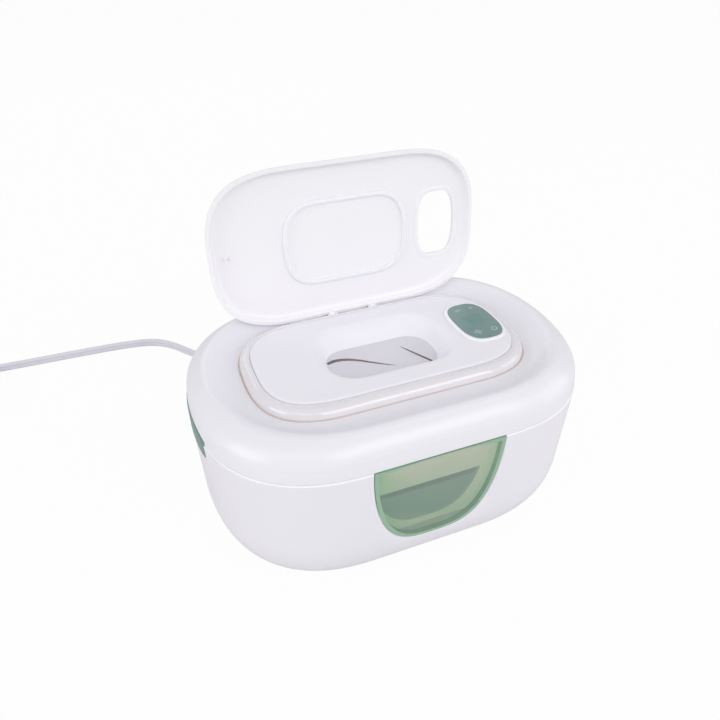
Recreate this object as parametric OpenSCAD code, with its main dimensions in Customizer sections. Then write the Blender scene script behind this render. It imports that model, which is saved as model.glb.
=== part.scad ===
// Baby wipe warmer: a heated wipe tank in an oval housing, with a hinged cover, a flip lid over the
// wipe opening, a touch panel, a light ring and a mains lead. Millimetres, z = 0 on the table,
// x along the body, y towards the back. The flip lid stands open, everything else is shut.

/* [Body] */
// Length of the body at its seam
body_w = 250; // [240:1:260]
// Depth of the body at its seam
body_d = 171.2; // [166:0.2:178]
// Height of the seam between housing and cover
seam_h = 93.5; // [90:0.5:97]
// Thickness of the housing and cover walls
wall = 2.6; // [2.2:0.1:3]

/* [Cover] */
// Length of the light ring
ring_w = 179.9; // [178:0.1:181]
// Depth of the light ring
ring_d = 101.1; // [100:0.1:102]
// Length of the deck inside the light ring
deck_w = 165.7; // [164:0.1:167]
// Depth of the deck inside the light ring
deck_d = 85.3; // [84:0.1:86]
// Height of the deck above the seam
deck_h = 21.8; // [21.4:0.1:22.2]
// Length of the wipe opening at its throat
throat_w = 72; // [68:1:76]
// Depth of the wipe opening at its throat
throat_d = 38; // [34:1:40]

/* [Touch panel] */
// Width of the panel glass, along the body
panel_w = 27.4; // [26:0.2:28]
// Length of the panel glass, across the body
panel_d = 43.7; // [42:0.1:45]
// Centre of the panel from the middle of the body
panel_x = 66.6; // [66:0.1:67]

/* [Flip lid] */
// Length of the flip lid
lid_w = 186.1; // [184:0.1:188]
// Depth of the flip lid
lid_d = 105.5; // [104:0.1:107]
// Angle the flip lid opens to
lid_open = 94.75; // [90:0.25:95]

/* [Window] */
// Width of the front window at the seam
window_w = 82.6; // [78:0.2:86]
// Height of the front window
window_h = 66; // [60:1:67]

/* [Power cord] */
// Width of the flat twin cord
cord_w = 7.2; // [6.8:0.1:7.4]
// Thickness of the flat twin cord
cord_t = 3.8; // [3.4:0.1:4]
// Turns in each of the two layers of the stored coil
coil_turns = 2.375; // [2.375:1:3.375]

/* [Hidden] */

$fn = 48;
over = 1;             // how far a cutter runs past what it cuts
fit = 0.05;           // running fit between a pin and its bore
gap = 0.4;            // clearance between separate mouldings
seam_half = 0.4;      // half of the gap at the seam
steps = 12;           // points on a quarter of an outline
sheet = 1.2;          // thickness of silicone and small plates

// ---- outlines -------------------------------------------------------------------------------

// Oval outline of half sizes a and b: straight for f each side of the middle, ends of exponent m.
// The end arcs start e past the long axis, so e above 0 makes them a little pointed.
function plan(a, b, f, m, e = 0) =
    let (cx = a - f, cy = b + e, t0 = e > 0 ? asin(pow(e / cy, m / 2)) : 0,
         q = [for (i = [0:steps]) let (t = t0 + (90 - t0) * i / steps)
              [f + cx * pow(max(cos(t), 0), 2 / m), cy * pow(sin(t), 2 / m) - e]])
    [for (i = [0:steps]) q[i], for (i = [steps:-1:1]) [-q[i][0], q[i][1]],
     for (i = [0:steps]) -q[i], for (i = [steps:-1:1]) [q[i][0], -q[i][1]]];

function at(p, z) = [for (v = p) [v[0], v[1], z]];
function mix(p, q, s) = (1 - s) * p + s * q;

body_flat = 38.9;     // half of the straight front and back
body_m = 2.48;        // exponent of the body's ends
body_e = 4.4;
// Outline of the body, o inside its seam line
function body(o) = plan(body_w / 2 - o, body_d / 2 - o, body_flat - o / 2, body_m, body_e + o / 2);
// Outlines of the ring, deck, wipe opening, panel and lid, grown by g
function ring(g) = plan(ring_w / 2 + g, ring_d / 2 + g, body_flat, 2.75);
function deck(g) = plan(deck_w / 2 + g, deck_d / 2 + g, 32.3, 3.1);
function mouth(g, h = 0) = plan(throat_w / 2 + g, throat_d / 2 + g + h, 18, 2.6);
function panel(g) = plan(panel_w / 2 + g, panel_d / 2 + g, 0, 2.9);
function lid(g) = plan(lid_w / 2 + g, lid_d / 2 + g, 32.5, 2.91);
function rib(g) = plan(43.6 + g, 28.6 + g, 18, 2.7);

// D-shaped outline under a straight top edge, shrunk by g
function dee(g) = [for (i = [0:28]) let (t = 180 * i / 28)
    [(window_w / 2 - g) * sign(cos(t)) * pow(abs(cos(t)), 2 / 3),
     -(window_h - g) * pow(max(sin(t), 0), 2 / 2.2)]];

// ---- solids from outlines -------------------------------------------------------------------

// Skin over outlines that all have the same number of points. A loop of outlines closes on itself.
// A strip's outline runs there and back along a bent plate, and its ends are closed across it.
module skin(rings, loop = false, strip = false) {
    n = len(rings[0]);
    k = len(rings);
    u = (k - 1) * n;
    sides = [for (i = [0:k - (loop ? 1 : 2)], j = [0:n - 1])
        let (a = i * n + j, b = i * n + (j + 1) % n, d = ((i + 1) % k) * n + j,
             c = ((i + 1) % k) * n + (j + 1) % n)
        each [[a, c, b], [a, d, c]]];
    flat = [[for (j = [0:n - 1]) j], [for (j = [n - 1:-1:0]) u + j]];
    across = [for (j = [0:n / 2 - 2]) let (e = n - 1 - j)
        each [[j, j + 1, e - 1], [j, e - 1, e], [u + j, u + e - 1, u + j + 1], [u + j, u + e, u + e - 1]]];
    polyhedron([for (r = rings) each r], [each sides, each (loop ? [] : strip ? across : flat)]);
}

module slab(p, z, h) {
    translate([0, 0, z]) linear_extrude(h) polygon(p);
}

module slab_ring(p, q, z, h) {
    translate([0, 0, z]) linear_extrude(h) difference() {
        polygon(p);
        polygon(q);
    }
}

// Cylinder along y, from y0 to y1
module rod_y(x, z, r, y0, y1) {
    translate([x, y1, z]) rotate([90, 0, 0]) cylinder(r = r, h = y1 - y0);
}

// Cylinder along x, from x0 to x1
module rod_x(y, z, r, x0, x1) {
    translate([x0, y, z]) rotate([0, 90, 0]) cylinder(r = r, h = x1 - x0);
}

module box(lo, hi) {
    translate(lo) cube(hi - lo);
}

// Tube of section s ([across, up] points) along the points p. Both ends are cut square.
module tube(p, s) {
    n = len(p);
    m = len(s);
    rings = [for (i = [0:n - 1])
        let (d = p[min(i + 1, n - 1)] - p[max(i - 1, 0)], t = d / norm(d),
             side = cross([0, 0, 1], t) / norm(cross([0, 0, 1], t)), up = cross(t, side))
        [for (v = s) p[i] + v[0] * side + v[1] * up]];
    skin(rings);
}

function round_section(r, n) = [for (i = [0:n - 1]) r * [cos(360 * i / n), sin(360 * i / n)]];

// ---- body profiles: offset from the seam line against height above the table ------------------

draft_low = 0.04;     // slope of the housing wall
wall_low = 54.3;      // height of its straight part
foot_h = 1.5;         // height that the feet lift the housing
edge_h = seam_h - wall_low - foot_h;
edge_w = 18.7;
// Offset and height on the rounded bottom edge at angle t, w inside the surface
function edge(t, w = 0) = [draft_low * wall_low + w + edge_w * (1 - cos(t)),
    seam_h - wall_low - (edge_h - w) * sin(t)];
function prof(v) = at(body(v[0]), v[1]);

draft_up = 0.15;
wall_up = 7.5;        // height of the cover's straight edge
shoulder_w = 26.3;
shoulder_h = 17.6;
function shoulder(t, w = 0) = [draft_up * wall_up + w + (shoulder_w - w) * (1 - cos(t)),
    seam_h + wall_up + (shoulder_h - w) * sin(t)];

crest = 52;           // angle where the shoulder turns over into the dish
dish_h = 14.9;        // floor of the dish above the seam
ledge_h = 13.4;       // ledge under the light ring, above the seam
ring_gap = 0.9;       // width of the gasket around the light ring
dish_o = 16;          // offset where the dish starts to follow the ring
function dish(s) = mix(body(dish_o), ring(ring_gap), s);

cover_outer = [prof([0, seam_h + seam_half]), for (t = [0:13:crest]) prof(shoulder(t)),
    prof([12.6, seam_h + 21.75]), prof([14, seam_h + 21.5]), prof([dish_o, seam_h + 20.6]),
    at(dish(0.33), seam_h + 17.4), at(dish(0.66), seam_h + 15.2), at(dish(0.85), seam_h + dish_h),
    at(dish(1), seam_h + dish_h)];

// ---- hinges and latch ------------------------------------------------------------------------

hinge_x = 124.3;      // axis of the cover's hinge, along y at the seam
hinge_r = 3.2;
pin_r = 1.5;
base_knuckles = [[-22, -13.5], [-4, 4], [13.5, 22]];
cover_knuckles = [[-13.2, -4.3], [4.3, 13.2]];
hinge_clear = 0.5;

lid_axis = [52, seam_h + 17.4];   // y and z of the flip lid's hinge
lid_y = 0.3;          // middle of the shut lid
lid_rim = seam_h + 19.4;
lid_arm_x = 15;       // the two hinge arms of the lid, from the middle
lid_arm_w = 4;
lid_arm_r = 1.5;
lid_pin_r = 0.6;

latch_x = -120;       // axis of the release latch, along y
latch_z = seam_h - 4;
latch_w = 27.5;       // half width of the latch
latch_top = 4;        // above the seam
latch_bottom = 12;    // below the seam, with the room under its edge
latch_t = 1.7;
latch_hub_r = 1.8;
latch_pin_r = 1;
latch_ears = [-15.5, -6.5, 6.5, 15.5];
latch_room = -117.6;  // inner end of the room behind the latch
catch_x = -119.2;     // face of the cover's wall that carries its catch

// Face of the latch across y and z, grown by g
function latch_face(g) = [
    for (i = [-6:6]) [i / 6 * (latch_w + g), latch_top + g - 2.4 * pow(i / 6, 2)],
    [latch_w + g, 0], [latch_w + g - 0.9, -1.2], [latch_w + g - 1.3, -latch_bottom + 3],
    for (a = [0:30:90]) [latch_w - 4.3 + (3 + g) * cos(a), -latch_bottom + 3 - (3 + g) * sin(a)],
    for (a = [90:30:180]) [-latch_w + 4.3 + (3 + g) * cos(a), -latch_bottom + 3 - (3 + g) * sin(a)],
    [-latch_w - g + 1.3, -latch_bottom + 3], [-latch_w - g + 0.9, -1.2], [-latch_w - g, 0]];

// Latch face as a block along x
module latch_block(g, x0, x1) {
    translate([x0, 0, seam_h]) rotate([90, 0, 90]) linear_extrude(x1 - x0) polygon(latch_face(g));
}

// x of the body's left end at y, o inside its seam line
function end_x(y, o) = let (f = body_flat - o / 2, e = body_e + o / 2)
    -f - (body_w / 2 - o - f) * pow(1 - pow((abs(y) + e) / (body_d / 2 - o + e), body_m), 1 / body_m);

// Window outline as a block along y, at the front
module window_block(g, y0, y1) {
    translate([0, y1, seam_h - seam_half]) rotate([90, 0, 0]) linear_extrude(y1 - y0) polygon(dee(g));
}

// Band of the housing wall between two offsets from its surface
module wall_band(o0, o1) {
    skin([for (t = [24, 12, 0]) prof(edge(t) + [o0, 0]), prof([o0, seam_h - seam_half]),
        prof([o1, seam_h - seam_half]), for (t = [0, 12, 24]) prof(edge(t) + [o1, 0])], true);
}

// ---- lower housing ---------------------------------------------------------------------------

plate_h = 2.4;        // thickness of the base plate
flange_z = foot_h + plate_h;
boss = [70, 50];      // base screws
exit_x = -38;         // where the cord leaves the back wall
exit_z = 24;
tank_z = seam_h - 6;  // underside of the tank's flange

// Cylinder along the cord's way out, from y0 to y1
module exit_rod(r, y0, y1) {
    rod_y(exit_x, exit_z, r, y0, y1);
}

module four(p) {
    for (sx = [-1, 1], sy = [-1, 1]) translate([sx * p[0], sy * p[1], 0]) children();
}

module housing_shell() {
    ledge = [[wall, seam_h - seam_half], [wall + 0.2, tank_z], [5.6, tank_z], [5.6, tank_z - 1.6],
        [wall + 0.4, tank_z - 4.6]];
    skin([prof([30, flange_z]), prof([22.1, flange_z]), prof([21.9, foot_h]),
        for (t = [90:-15:0]) prof(edge(t)), prof([0, seam_h - seam_half]),
        for (v = ledge) prof(v),
        for (t = [0:14:70]) prof(edge(t, wall)), prof([30, flange_z + 2.2])], true);
}

module latch_room() {
    low = seam_h - latch_bottom - 2;
    top = tank_z - gap;
    box([latch_room, -30, low], [latch_room + 1.4, 30, top]);
    intersection() {
        slab(body(1.2), low - 1.2, 1.2);
        box([-122.4, -30, low - 1.2], [latch_room + 1.4, 30, low]);
    }
    for (s = [-1, 1]) translate([0, s * 29.2, 0]) box([-120.6, -0.8, low], [latch_room + 1.4, 0.8, top]);
}

module latch_ear(y) {
    difference() {
        union() {
            box([-120.4, y - 0.9, seam_h - latch_bottom - 2.5], [latch_room + 1, y + 0.9, tank_z - gap]);
            box([latch_x - 1.2, y - 0.9, latch_z - 4], [latch_x + 1.4, y + 0.9, latch_z]);
            rod_y(latch_x, latch_z, latch_hub_r, y - 0.9, y + 0.9);
        }
        rod_y(latch_x, latch_z, latch_pin_r + fit, y - 2, y + 2);
    }
}

module lower_housing() {
    color("whitesmoke") {
        difference() {
            union() {
                housing_shell();
                for (k = base_knuckles) rod_y(hinge_x, seam_h, hinge_r, k[0], k[1]);
                four(boss) translate([0, 0, flange_z]) cylinder(r = 3.6, h = 9);
                exit_rod(8, 77, 83.5);
            }
            window_block(0, -95, -73.2);
            latch_block(gap, -130, latch_room);
            for (k = cover_knuckles)
                rod_y(hinge_x, seam_h, hinge_r + hinge_clear, k[0] - 0.25, k[1] + 0.25);
            rod_y(hinge_x, seam_h, pin_r + fit, -30, 30);
            exit_rod(5, 70, 90);
            four(boss) translate([0, 0, flange_z - over]) cylinder(r = 1.5, h = 9.5);
        }
        latch_room();
        for (y = latch_ears) latch_ear(y);
    }
}

module front_window() {
    color("mediumseagreen", 0.7) {
        intersection() {
            wall_band(0.1, 2.1);
            window_block(0.25, -95, -70);
        }
        intersection() {
            wall_band(2, 3.2);
            difference() {
                window_block(0.25, -95, -70);
                translate([0, 0, -2.6]) window_block(2.9, -96, -69);
            }
        }
    }
}

// ---- tank and heater -------------------------------------------------------------------------

tank_o = 12.6;        // tank wall inside the body's seam line
tank_floor = 21;
tank_r = 12;
seal_o = [8, 11];
aperture_top = 33;    // top edge of the viewing slot below the seam

function tank(t, w) = [tank_o + 1.4 + w + (tank_r - w) * (1 - cos(t)),
    tank_floor + tank_r - (tank_r - w) * sin(t)];

module inner_tank() {
    color("gainsboro") difference() {
        skin([for (t = [90:-22.5:0]) prof(tank(t, 0)), prof([tank_o, tank_z]), prof([3.4, tank_z]),
            prof([3.4, tank_z + 2]), prof([tank_o + 2, tank_z + 2]),
            for (t = [0:22.5:90]) prof(tank(t, 2))]);
        box([-126, -31, tank_z - over], [-117.3, 31, tank_z + 3]);
        box([119.5, -24, tank_z - over], [126, 24, tank_z + 3]);
        intersection() {
            window_block(3, -80, -60);
            box([-60, -80, 20], [60, -60, seam_h - aperture_top]);
        }
    }
}

module tank_seal() {
    color("lightgray")
        slab_ring(body(seal_o[0]), body(seal_o[1]), tank_z + 2, seam_h + 0.7 - tank_z - 2);
}

module heating_plate() {
    color("silver") slab(plan(80, 44, 40, 2.6), tank_floor + 2, 1);
}

module heater_film() {
    color("darkorange") slab(plan(78, 42, 40, 2.6), tank_floor - 0.6, 0.6);
}

module insulation_pad() {
    color("lightyellow") slab(plan(88, 50, 44, 2.6), tank_floor - 4.6, 4);
}

module thermistor() {
    color("darkgreen") translate([30, 0, tank_floor - 6.2]) {
        cylinder(r = 2.2, h = 1.6);
        translate([2, -0.6, 0]) cube([8, sheet, 0.8]);
    }
}

module thermal_fuse() {
    color("tan") translate([-30, -8, tank_floor - 6.6]) {
        rod_y(0, 0, 1.8, 0, 12);
        rod_y(0, 0, 0.5, -6, 18);
    }
}

// ---- base plate and electronics --------------------------------------------------------------

foot_at = [80, 32];
foot_r = 8;
board_lo = [14, 12, 8];
board_hi = [80, 45.6, 9.6];
board_holes = [[18, 16], [66, 16], [18, 34], [66, 34]];

module base_plate() {
    color("gainsboro") difference() {
        union() {
            slab(body(22.4), foot_h, plate_h);
            for (p = board_holes)
                translate([p[0], p[1], flange_z]) cylinder(r = 2.6, h = board_lo[2] - flange_z);
        }
        four(boss) {
            translate([0, 0, foot_h - over]) cylinder(r = 1.7, h = 5);
            translate([0, 0, foot_h - over]) cylinder(r = 3.2, h = 1.5 + over);
        }
        four(foot_at) translate([0, 0, foot_h - over]) cylinder(r = foot_r + fit, h = 1.2 + over);
        for (p = board_holes) translate([p[0], p[1], foot_h + 1]) cylinder(r = 1.1, h = 9);
        for (i = [-6:6]) translate([-45 + i * 5, 0, 0]) box([-1, -16, 0], [1, 16, 5]);
    }
}

module rubber_feet() {
    color("dimgray") four(foot_at) {
        cylinder(r = foot_r, h = 2.7 - fit);
    }
}

// Screw with its head down, pointing up
module screw(r, head_r, head_h, length) {
    difference() {
        union() {
            cylinder(r = head_r, h = head_h);
            cylinder(r = r, h = head_h + length);
        }
        for (a = [0, 90]) rotate(a) box([-head_r * 0.6, -0.35, -over], [head_r * 0.6, 0.35, 0.7]);
    }
}

module base_screws() {
    color("silver") four(boss) translate([0, 0, foot_h + 0.1]) screw(1.45, 2.8, 1.35, 9);
}

module power_board() {
    color("seagreen") difference() {
        box(board_lo, board_hi);
        for (p = board_holes) translate([p[0], p[1], board_lo[2] - over]) cylinder(r = 1.6, h = 4);
    }
}

module board_parts() {
    z = board_hi[2];
    color("royalblue") box([26, 36, z], [40, 45, z + 6]);
    color("black") translate([50, 40, z]) cylinder(r = 4, h = 5.6);
    color("black") translate([62, 40, z]) cylinder(r = 4, h = 5.6);
    color("gold") box([28, 20, z], [42, 32, z + 5.4]);
    color("dimgray") box([50, 20, z], [58, 28, z + 1.4]);
    color("white") box([69, 18, z], [77, 30, z + 5]);
}

module board_screws() {
    color("silver") for (p = board_holes)
        translate([p[0], p[1], board_hi[2] + 1.1]) mirror([0, 0, 1]) screw(1, 2.2, 1.1, 6);
}

module inner_wiring() {
    lead = round_section(0.9, 6);
    color("sienna") tube([[-40, 73, 24], [-38, 66, 18], [-24, 58, 12.4], [0, 52, 12.2], [10, 46, 12.2],
        [25.8, 43.2, 12.2]], lead);
    color("steelblue") tube([[-36, 73, 24], [-34, 64, 17], [-22, 54, 12.4], [0, 48, 12.2],
        [12, 43, 12.2], [25.8, 40, 12.2]], lead);
    color("firebrick") tube([[68.8, 22, 12.2], [52, 14, 13.6], [46, 6, 14.2], [42, 3, 14.6],
        [40.2, 1, 14.8]], lead);
}

// ---- contacts between housing and cover --------------------------------------------------------

contact_x = 106;
contact_y = [-9, -3, 3, 9];

module contact_pins() {
    color("gold") for (y = contact_y) translate([contact_x, y, tank_z + 2]) {
        cylinder(r = 1.4, h = 4);
        cylinder(r = 0.8, h = seam_h + 0.7 - tank_z - 2);
    }
}

module contact_pads() {
    color("gold") for (y = contact_y) translate([contact_x, y, seam_h + 1]) cylinder(r = 1.6, h = 0.8);
}

// ---- cord --------------------------------------------------------------------------------------

floor_z = cord_w / 2;
relief_end = 113;     // y where the cord leaves the strain relief
route = [[exit_x, relief_end, exit_z], [-38.3, 120, 23.7], [-39.8, 127, 22], [-43, 134.5, 18.2],
    [-47.5, 142, 13], [-53, 150, 8.4], [-59, 158.5, 5.2], [-66, 168, floor_z + 0.1],
    [-74.5, 177.5, floor_z], [-83, 186, floor_z], [-91, 194, floor_z], [-98.4, 203, floor_z],
    [-105.7, 213, floor_z], [-113, 223, floor_z], [-121, 231.5, floor_z], [-130, 237.5, floor_z],
    [-141, 241.2, floor_z], [-158, 243.8, floor_z], [-180, 245.2, floor_z], [-205, 246.2, floor_z],
    [-232, 247, floor_z], [-258, 247.6, floor_z + 0.2], [-280, 248, floor_z + 0.8],
    [-302, 248, floor_z + 1]];

// Sections of the flat twin cord, standing on its narrow side: with 8 corners and with 6
cord_section = [for (s = [1, -1]) each [[s * cord_t / 2, s * (cord_w / 2 - 1.2)],
    [s * (cord_t / 2 - 1), s * cord_w / 2], [s * (1 - cord_t / 2), s * cord_w / 2],
    [-s * cord_t / 2, s * (cord_w / 2 - 1.2)]]];
coil_section = [for (s = [1, -1]) each [[s * cord_t / 2, s * (cord_w / 2 - 1.4)], [0, s * cord_w / 2],
    [-s * cord_t / 2, s * (cord_w / 2 - 1.4)]]];

// The coil spirals in, climbs a layer in half a turn, drawn in while it does, and spirals out again.
coil_c = [-310, 205];
coil_r = 43;
coil_pitch = cord_t + 0.7;
coil_rise = cord_w + 0.6;
coil_drawn = 2;
coil_steps = 24;
coil_in = coil_turns * coil_steps;
coil_climb = coil_steps / 2;
coil_n = 2 * coil_in + coil_climb;
// Point on step i from the outer end of the lower layer
function coil_point(i) = let (
    ramp = min(i - coil_in + 4, coil_in + coil_climb + 4 - i) / 4,
    r = coil_r - coil_pitch * min(i, coil_n - i, coil_in) / coil_steps
        - coil_drawn * min(max(ramp, 0), 1),
    a = 90 + 360 * i / coil_steps,
    up = (1 - cos(180 * min(max((i - coil_in) / coil_climb, 0), 1))) / 2)
    [coil_c[0] + r * cos(a), coil_c[1] + r * sin(a), floor_z + 1 + coil_rise * up];
coil_loops = [for (i = [0:coil_n]) coil_point(i)];
coil_gap = min([for (i = [0:coil_n], j = [i + 8:1:coil_n]) let (d = coil_loops[i] - coil_loops[j])
    max(norm([d[0], d[1]]) - cord_t, abs(d[2]) - cord_w)]);
echo(coil_gap = coil_gap);

plug_at = [coil_c[0] - coil_r, coil_c[1] - 38, 8.2];
coil_lead = coil_c + [8, coil_r];
coil_tail = [for (v = [[-8, 4.2], [-16, 3.2], [-24, 1.2], [-31, 0], [-38, 0]])
    [plug_at[0], coil_c[1] + v[0], plug_at[2] + v[1]]];

module strain_relief() {
    color("white") {
        exit_rod(6.4, 75, 76.9);
        exit_rod(4.95, 74, 86);
        exit_rod(7, 83.6, 85.6);
        skin([for (v = [[85.2, 5.2, 5.2], [90, 4.8, 5.1], [96, 4.2, 5], [102, 3.7, 4.8],
                [108, 3.2, 4.6], [relief_end, 2.9, 4.4]])
            [for (i = [0:15]) let (a = -22.5 * i)
                [exit_x + v[1] * cos(a), v[0], exit_z + v[2] * sin(a)]]]);
    }
}

module power_cord() {
    color("whitesmoke") tube(route, cord_section);
}

module cord_coil() {
    color("whitesmoke") tube([[coil_lead[0], coil_lead[1], floor_z + 1], each coil_loops,
        each coil_tail], coil_section);
}

// Strap round all turns, on the far side of the coil
module cord_tie() {
    color("dimgray") translate([coil_c[0], coil_c[1], 0]) rotate(135) difference() {
        box([30.2, -4, 0.1], [45.6, 4, 17]);
        box([31, -5, 0.9], [44.8, 5, 16.2]);
    }
}

module plug_body() {
    color("white") translate(plug_at) rotate([90, 0, 0]) {
        skin([for (v = [[0, 3, 4.2], [3, 4.4, 4.6], [10, 5.6, 5.2], [14, 10.5, 7.4], [17, 12.5, 8],
                [33, 12.5, 8], [35, 11.6, 7.2]])
            [for (p = plan(v[1], v[2], 0, 3)) [p[0], p[1], v[0]]]]);
    }
}

module plug_blades() {
    color("silver") for (s = [-1, 1]) translate([plug_at[0] + s * 6.35, plug_at[1] - 35, plug_at[2]])
        difference() {
            box([-0.75, -17, -3.2], [0.75, 3, 3.2]);
            translate([-over, -12.5, 0]) rotate([0, 90, 0]) cylinder(r = 1.8, h = 3);
        }
}

// ---- cover -------------------------------------------------------------------------------------

cover_boss = [92, 46];

module cover_shell() {
    skin([for (r = cover_outer) r, at(ring(ring_gap), seam_h + ledge_h), at(ring(-5), seam_h + ledge_h),
        at(ring(-5), seam_h + ledge_h - 2), at(ring(2), seam_h + ledge_h - 2),
        at(dish(0.5), seam_h + 13.4), at(dish(0), seam_h + 17.8), prof([12.6, seam_h + 19]),
        for (t = [crest:-13:0]) prof(shoulder(t, wall)), prof([wall, seam_h + seam_half])], true);
}

// Places what is drawn on the shut lid, with z from its rim, where the open lid has it
module lid_pose() {
    translate([0, lid_axis[0], lid_axis[1]]) rotate([-lid_open, 0, 0])
        translate([0, lid_y - lid_axis[0], lid_rim - lid_axis[1]]) children();
}

module lid_ear(x) {
    rod_x(lid_axis[0], lid_axis[1], lid_arm_r, x - 0.6, x + 0.6);
    box([x - 0.6, lid_axis[0] - 0.5, seam_h + 12.6], [x + 0.6, lid_axis[0] + 1.5, lid_axis[1]]);
}

lid_ears = [for (s = [-1, 1], d = [-1, 1]) s * lid_arm_x + d * (lid_arm_w / 2 + 0.9)];

module upper_cover() {
    z = seam_h;
    color("whitesmoke") {
        difference() {
            union() {
                cover_shell();
                for (k = cover_knuckles) rod_y(hinge_x, z, hinge_r, k[0], k[1]);
                four(cover_boss) translate([0, 0, z + 3.1]) cylinder(r = 3.6, h = 14.6);
            }
            latch_block(gap, -130, catch_x);
            for (k = base_knuckles)
                rod_y(hinge_x, z, hinge_r + hinge_clear, k[0] - 0.25, k[1] + 0.25);
            rod_y(hinge_x, z, pin_r + fit, -30, 30);
            four(cover_boss) translate([0, 0, z + 3]) cylinder(r = 1.5, h = 10);
        }
        difference() {
            for (x = lid_ears) lid_ear(x);
            rod_x(lid_axis[0], lid_axis[1], lid_pin_r + fit, -20, 20);
        }
        box([catch_x, -30, z + seam_half], [catch_x + 1.2, 30, z + 6.4]);
        intersection() {
            slab(body(1.8), z + 5.2, 1.2);
            box([-123, -30, z + 5.2], [catch_x + 1.2, 30, z + 6.4]);
        }
        box([-120.4, -8, z + 0.6], [catch_x + 0.1, 8, z + 1.2]);
        for (s = [-1, 1]) translate([0, s * 29.2, 0])
            box([-120.4, -0.8, z + seam_half], [catch_x + 1.2, 0.8, z + 6.4]);
    }
}

module light_ring() {
    profile = [[0, 13.5], [0, 15.9], [0.05, 17.3], [0.17, 18.9], [0.37, 20.1], [0.62, 20.7], [0.9, 20.6],
        [0.98, 20.2], [0.98, 18.4], [0.6, 18.5], [0.38, 17.7], [0.24, 16], [0.22, 13.5]];
    color("mistyrose", 0.9)
        skin([for (v = profile) at(mix(ring(0), deck(0), v[0]), seam_h + v[1])], true);
}

module ring_gasket() {
    color("rosybrown") skin([at(ring(0.85), seam_h + 13.5), at(ring(0.85), seam_h + 14.95),
        at(ring(0.05), seam_h + 15.05), at(ring(0.05), seam_h + 13.5)], true);
}

module top_deck() {
    z = seam_h + deck_h;
    color("lightgray") difference() {
        skin([at(deck(-0.2), z - 2.4), at(deck(0), z - 1.6), at(deck(0), z - 0.8),
            at(deck(-0.35), z - 0.25), at(deck(-1), z), at(mouth(9, 2.5), z),
            at(mouth(6.3, 2.6), z - 0.6), at(mouth(4.6, 2), z - 2.5),
            at(mouth(2.8, 1), z - 6.3), at(mouth(1, 0.3), z - 10.3), at(mouth(0), z - 12),
            at(mouth(2), z - 12), at(mouth(3.1, 0.4), z - 10), at(mouth(5, 1.2), z - 5.8),
            at(mouth(7.2, 2.4), z - 2.4)], true);
        translate([panel_x, 0, 0]) slab(panel(-1.2), z - 4, 6);
    }
}

bezel_h = 1.6;

module panel_bezel() {
    z = seam_h + deck_h;
    color("white") translate([panel_x, 0, 0])
        skin([at(panel(-1.3), z - 2.8), at(panel(-1.3), z + 0.02), at(panel(2.2), z + 0.02),
            at(panel(2.05), z + 0.7), at(panel(1.5), z + 1.4), at(panel(0.1), z + 1.4),
            at(panel(0.1), z + 0.4), at(panel(-2.5), z + 0.4), at(panel(-2.5), z - 2.8)], true);
}

module panel_glass() {
    color("seagreen") translate([panel_x, 0, 0])
        slab(panel(0), seam_h + deck_h + 0.42, bezel_h - 0.42);
}

module touch_board() {
    z = seam_h + deck_h - 2.7;
    color("darkgreen") translate([panel_x, 0, 0]) {
        slab(panel(-3), z + 1.5, 1.55);
        box([-6, -12, z - 1.2], [6, 12, z + 1.5]);
    }
}

module led_board() {
    color("ivory") slab_ring(ring(-2.7), ring(-4.9), seam_h + ledge_h + 0.05, 1);
}

module led_chips() {
    p = ring(-3.8);
    color("gold") for (i = [0:3:len(p) - 1])
        translate([p[i][0], p[i][1], seam_h + ledge_h + 1.05]) box([-0.9, -0.9, 0], [0.9, 0.9, 0.9]);
}

// ---- wipe opening --------------------------------------------------------------------------------

flap_z = seam_h + 8.6;

// Curved slit of half width w along the points p
module slit(p, w) {
    n = len(p);
    nor = [for (i = [0:n - 1]) let (d = p[min(i + 1, n - 1)] - p[max(i - 1, 0)]) [-d[1], d[0]] / norm(d)];
    translate([0, 0, flap_z - over]) linear_extrude(sheet + 2 * over)
        polygon([for (i = [0:n - 1]) p[i] + w[i] * nor[i], for (i = [n - 1:-1:0]) p[i] - w[i] * nor[i]]);
}

slit_left = [[-35, 7.6], [-31, 8.9], [-27, 9], [-22, 7.8], [-15, 4.2], [-8, -1], [-1, -6], [5, -10]];
slit_right = [[16.5, 11], [19.5, 5.6], [23, -1.4], [26.4, -7.6], [29.5, -12.6]];

module flap_seal() {
    color("lightsteelblue") difference() {
        slab(mouth(5, 0.6), flap_z, sheet);
        slit(slit_left, [1.1, 1.3, 1.1, 0.9, 0.7, 0.55, 0.45, 0.4]);
        slit(slit_right, [0.4, 0.45, 0.6, 0.8, 0.9]);
    }
}

module flap_retainer() {
    color("white") slab_ring(mouth(5, 0.6), mouth(1, 0.8), flap_z - 2.6, 2.55);
}

module inner_cover() {
    z = seam_h + 1;
    color("gainsboro") difference() {
        union() {
            slab(body(4.6), z, 2);
            slab(mouth(4, 1.4), z, 5);
        }
        slab(mouth(1, 0.8), z - over, 8);
        box([-126, -31, z - over], [-117.4, 31, z + 3]);
        box([119.2, -24, z - over], [126, 24, z + 3]);
        four(cover_boss) {
            translate([0, 0, z - over]) cylinder(r = 1.7, h = 4);
            translate([0, 0, z - over]) cylinder(r = 3.2, h = 1.2 + over);
        }
        for (y = contact_y) translate([contact_x, y, z - over]) cylinder(r = 1.6 + fit, h = 0.8 + over);
    }
}

module cover_screws() {
    color("silver") four(cover_boss) translate([0, 0, seam_h + 1.1]) screw(1.45, 2.8, 1.05, 9);
}

module lid_hinge_pins() {
    color("silver") for (s = [-1, 1])
        rod_x(lid_axis[0], lid_axis[1], lid_pin_r, s * lid_arm_x - 3.6, s * lid_arm_x + 3.6);
}

module main_hinge_pin() {
    color("silver") rod_y(hinge_x, seam_h, pin_r, -22, 22);
}

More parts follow.
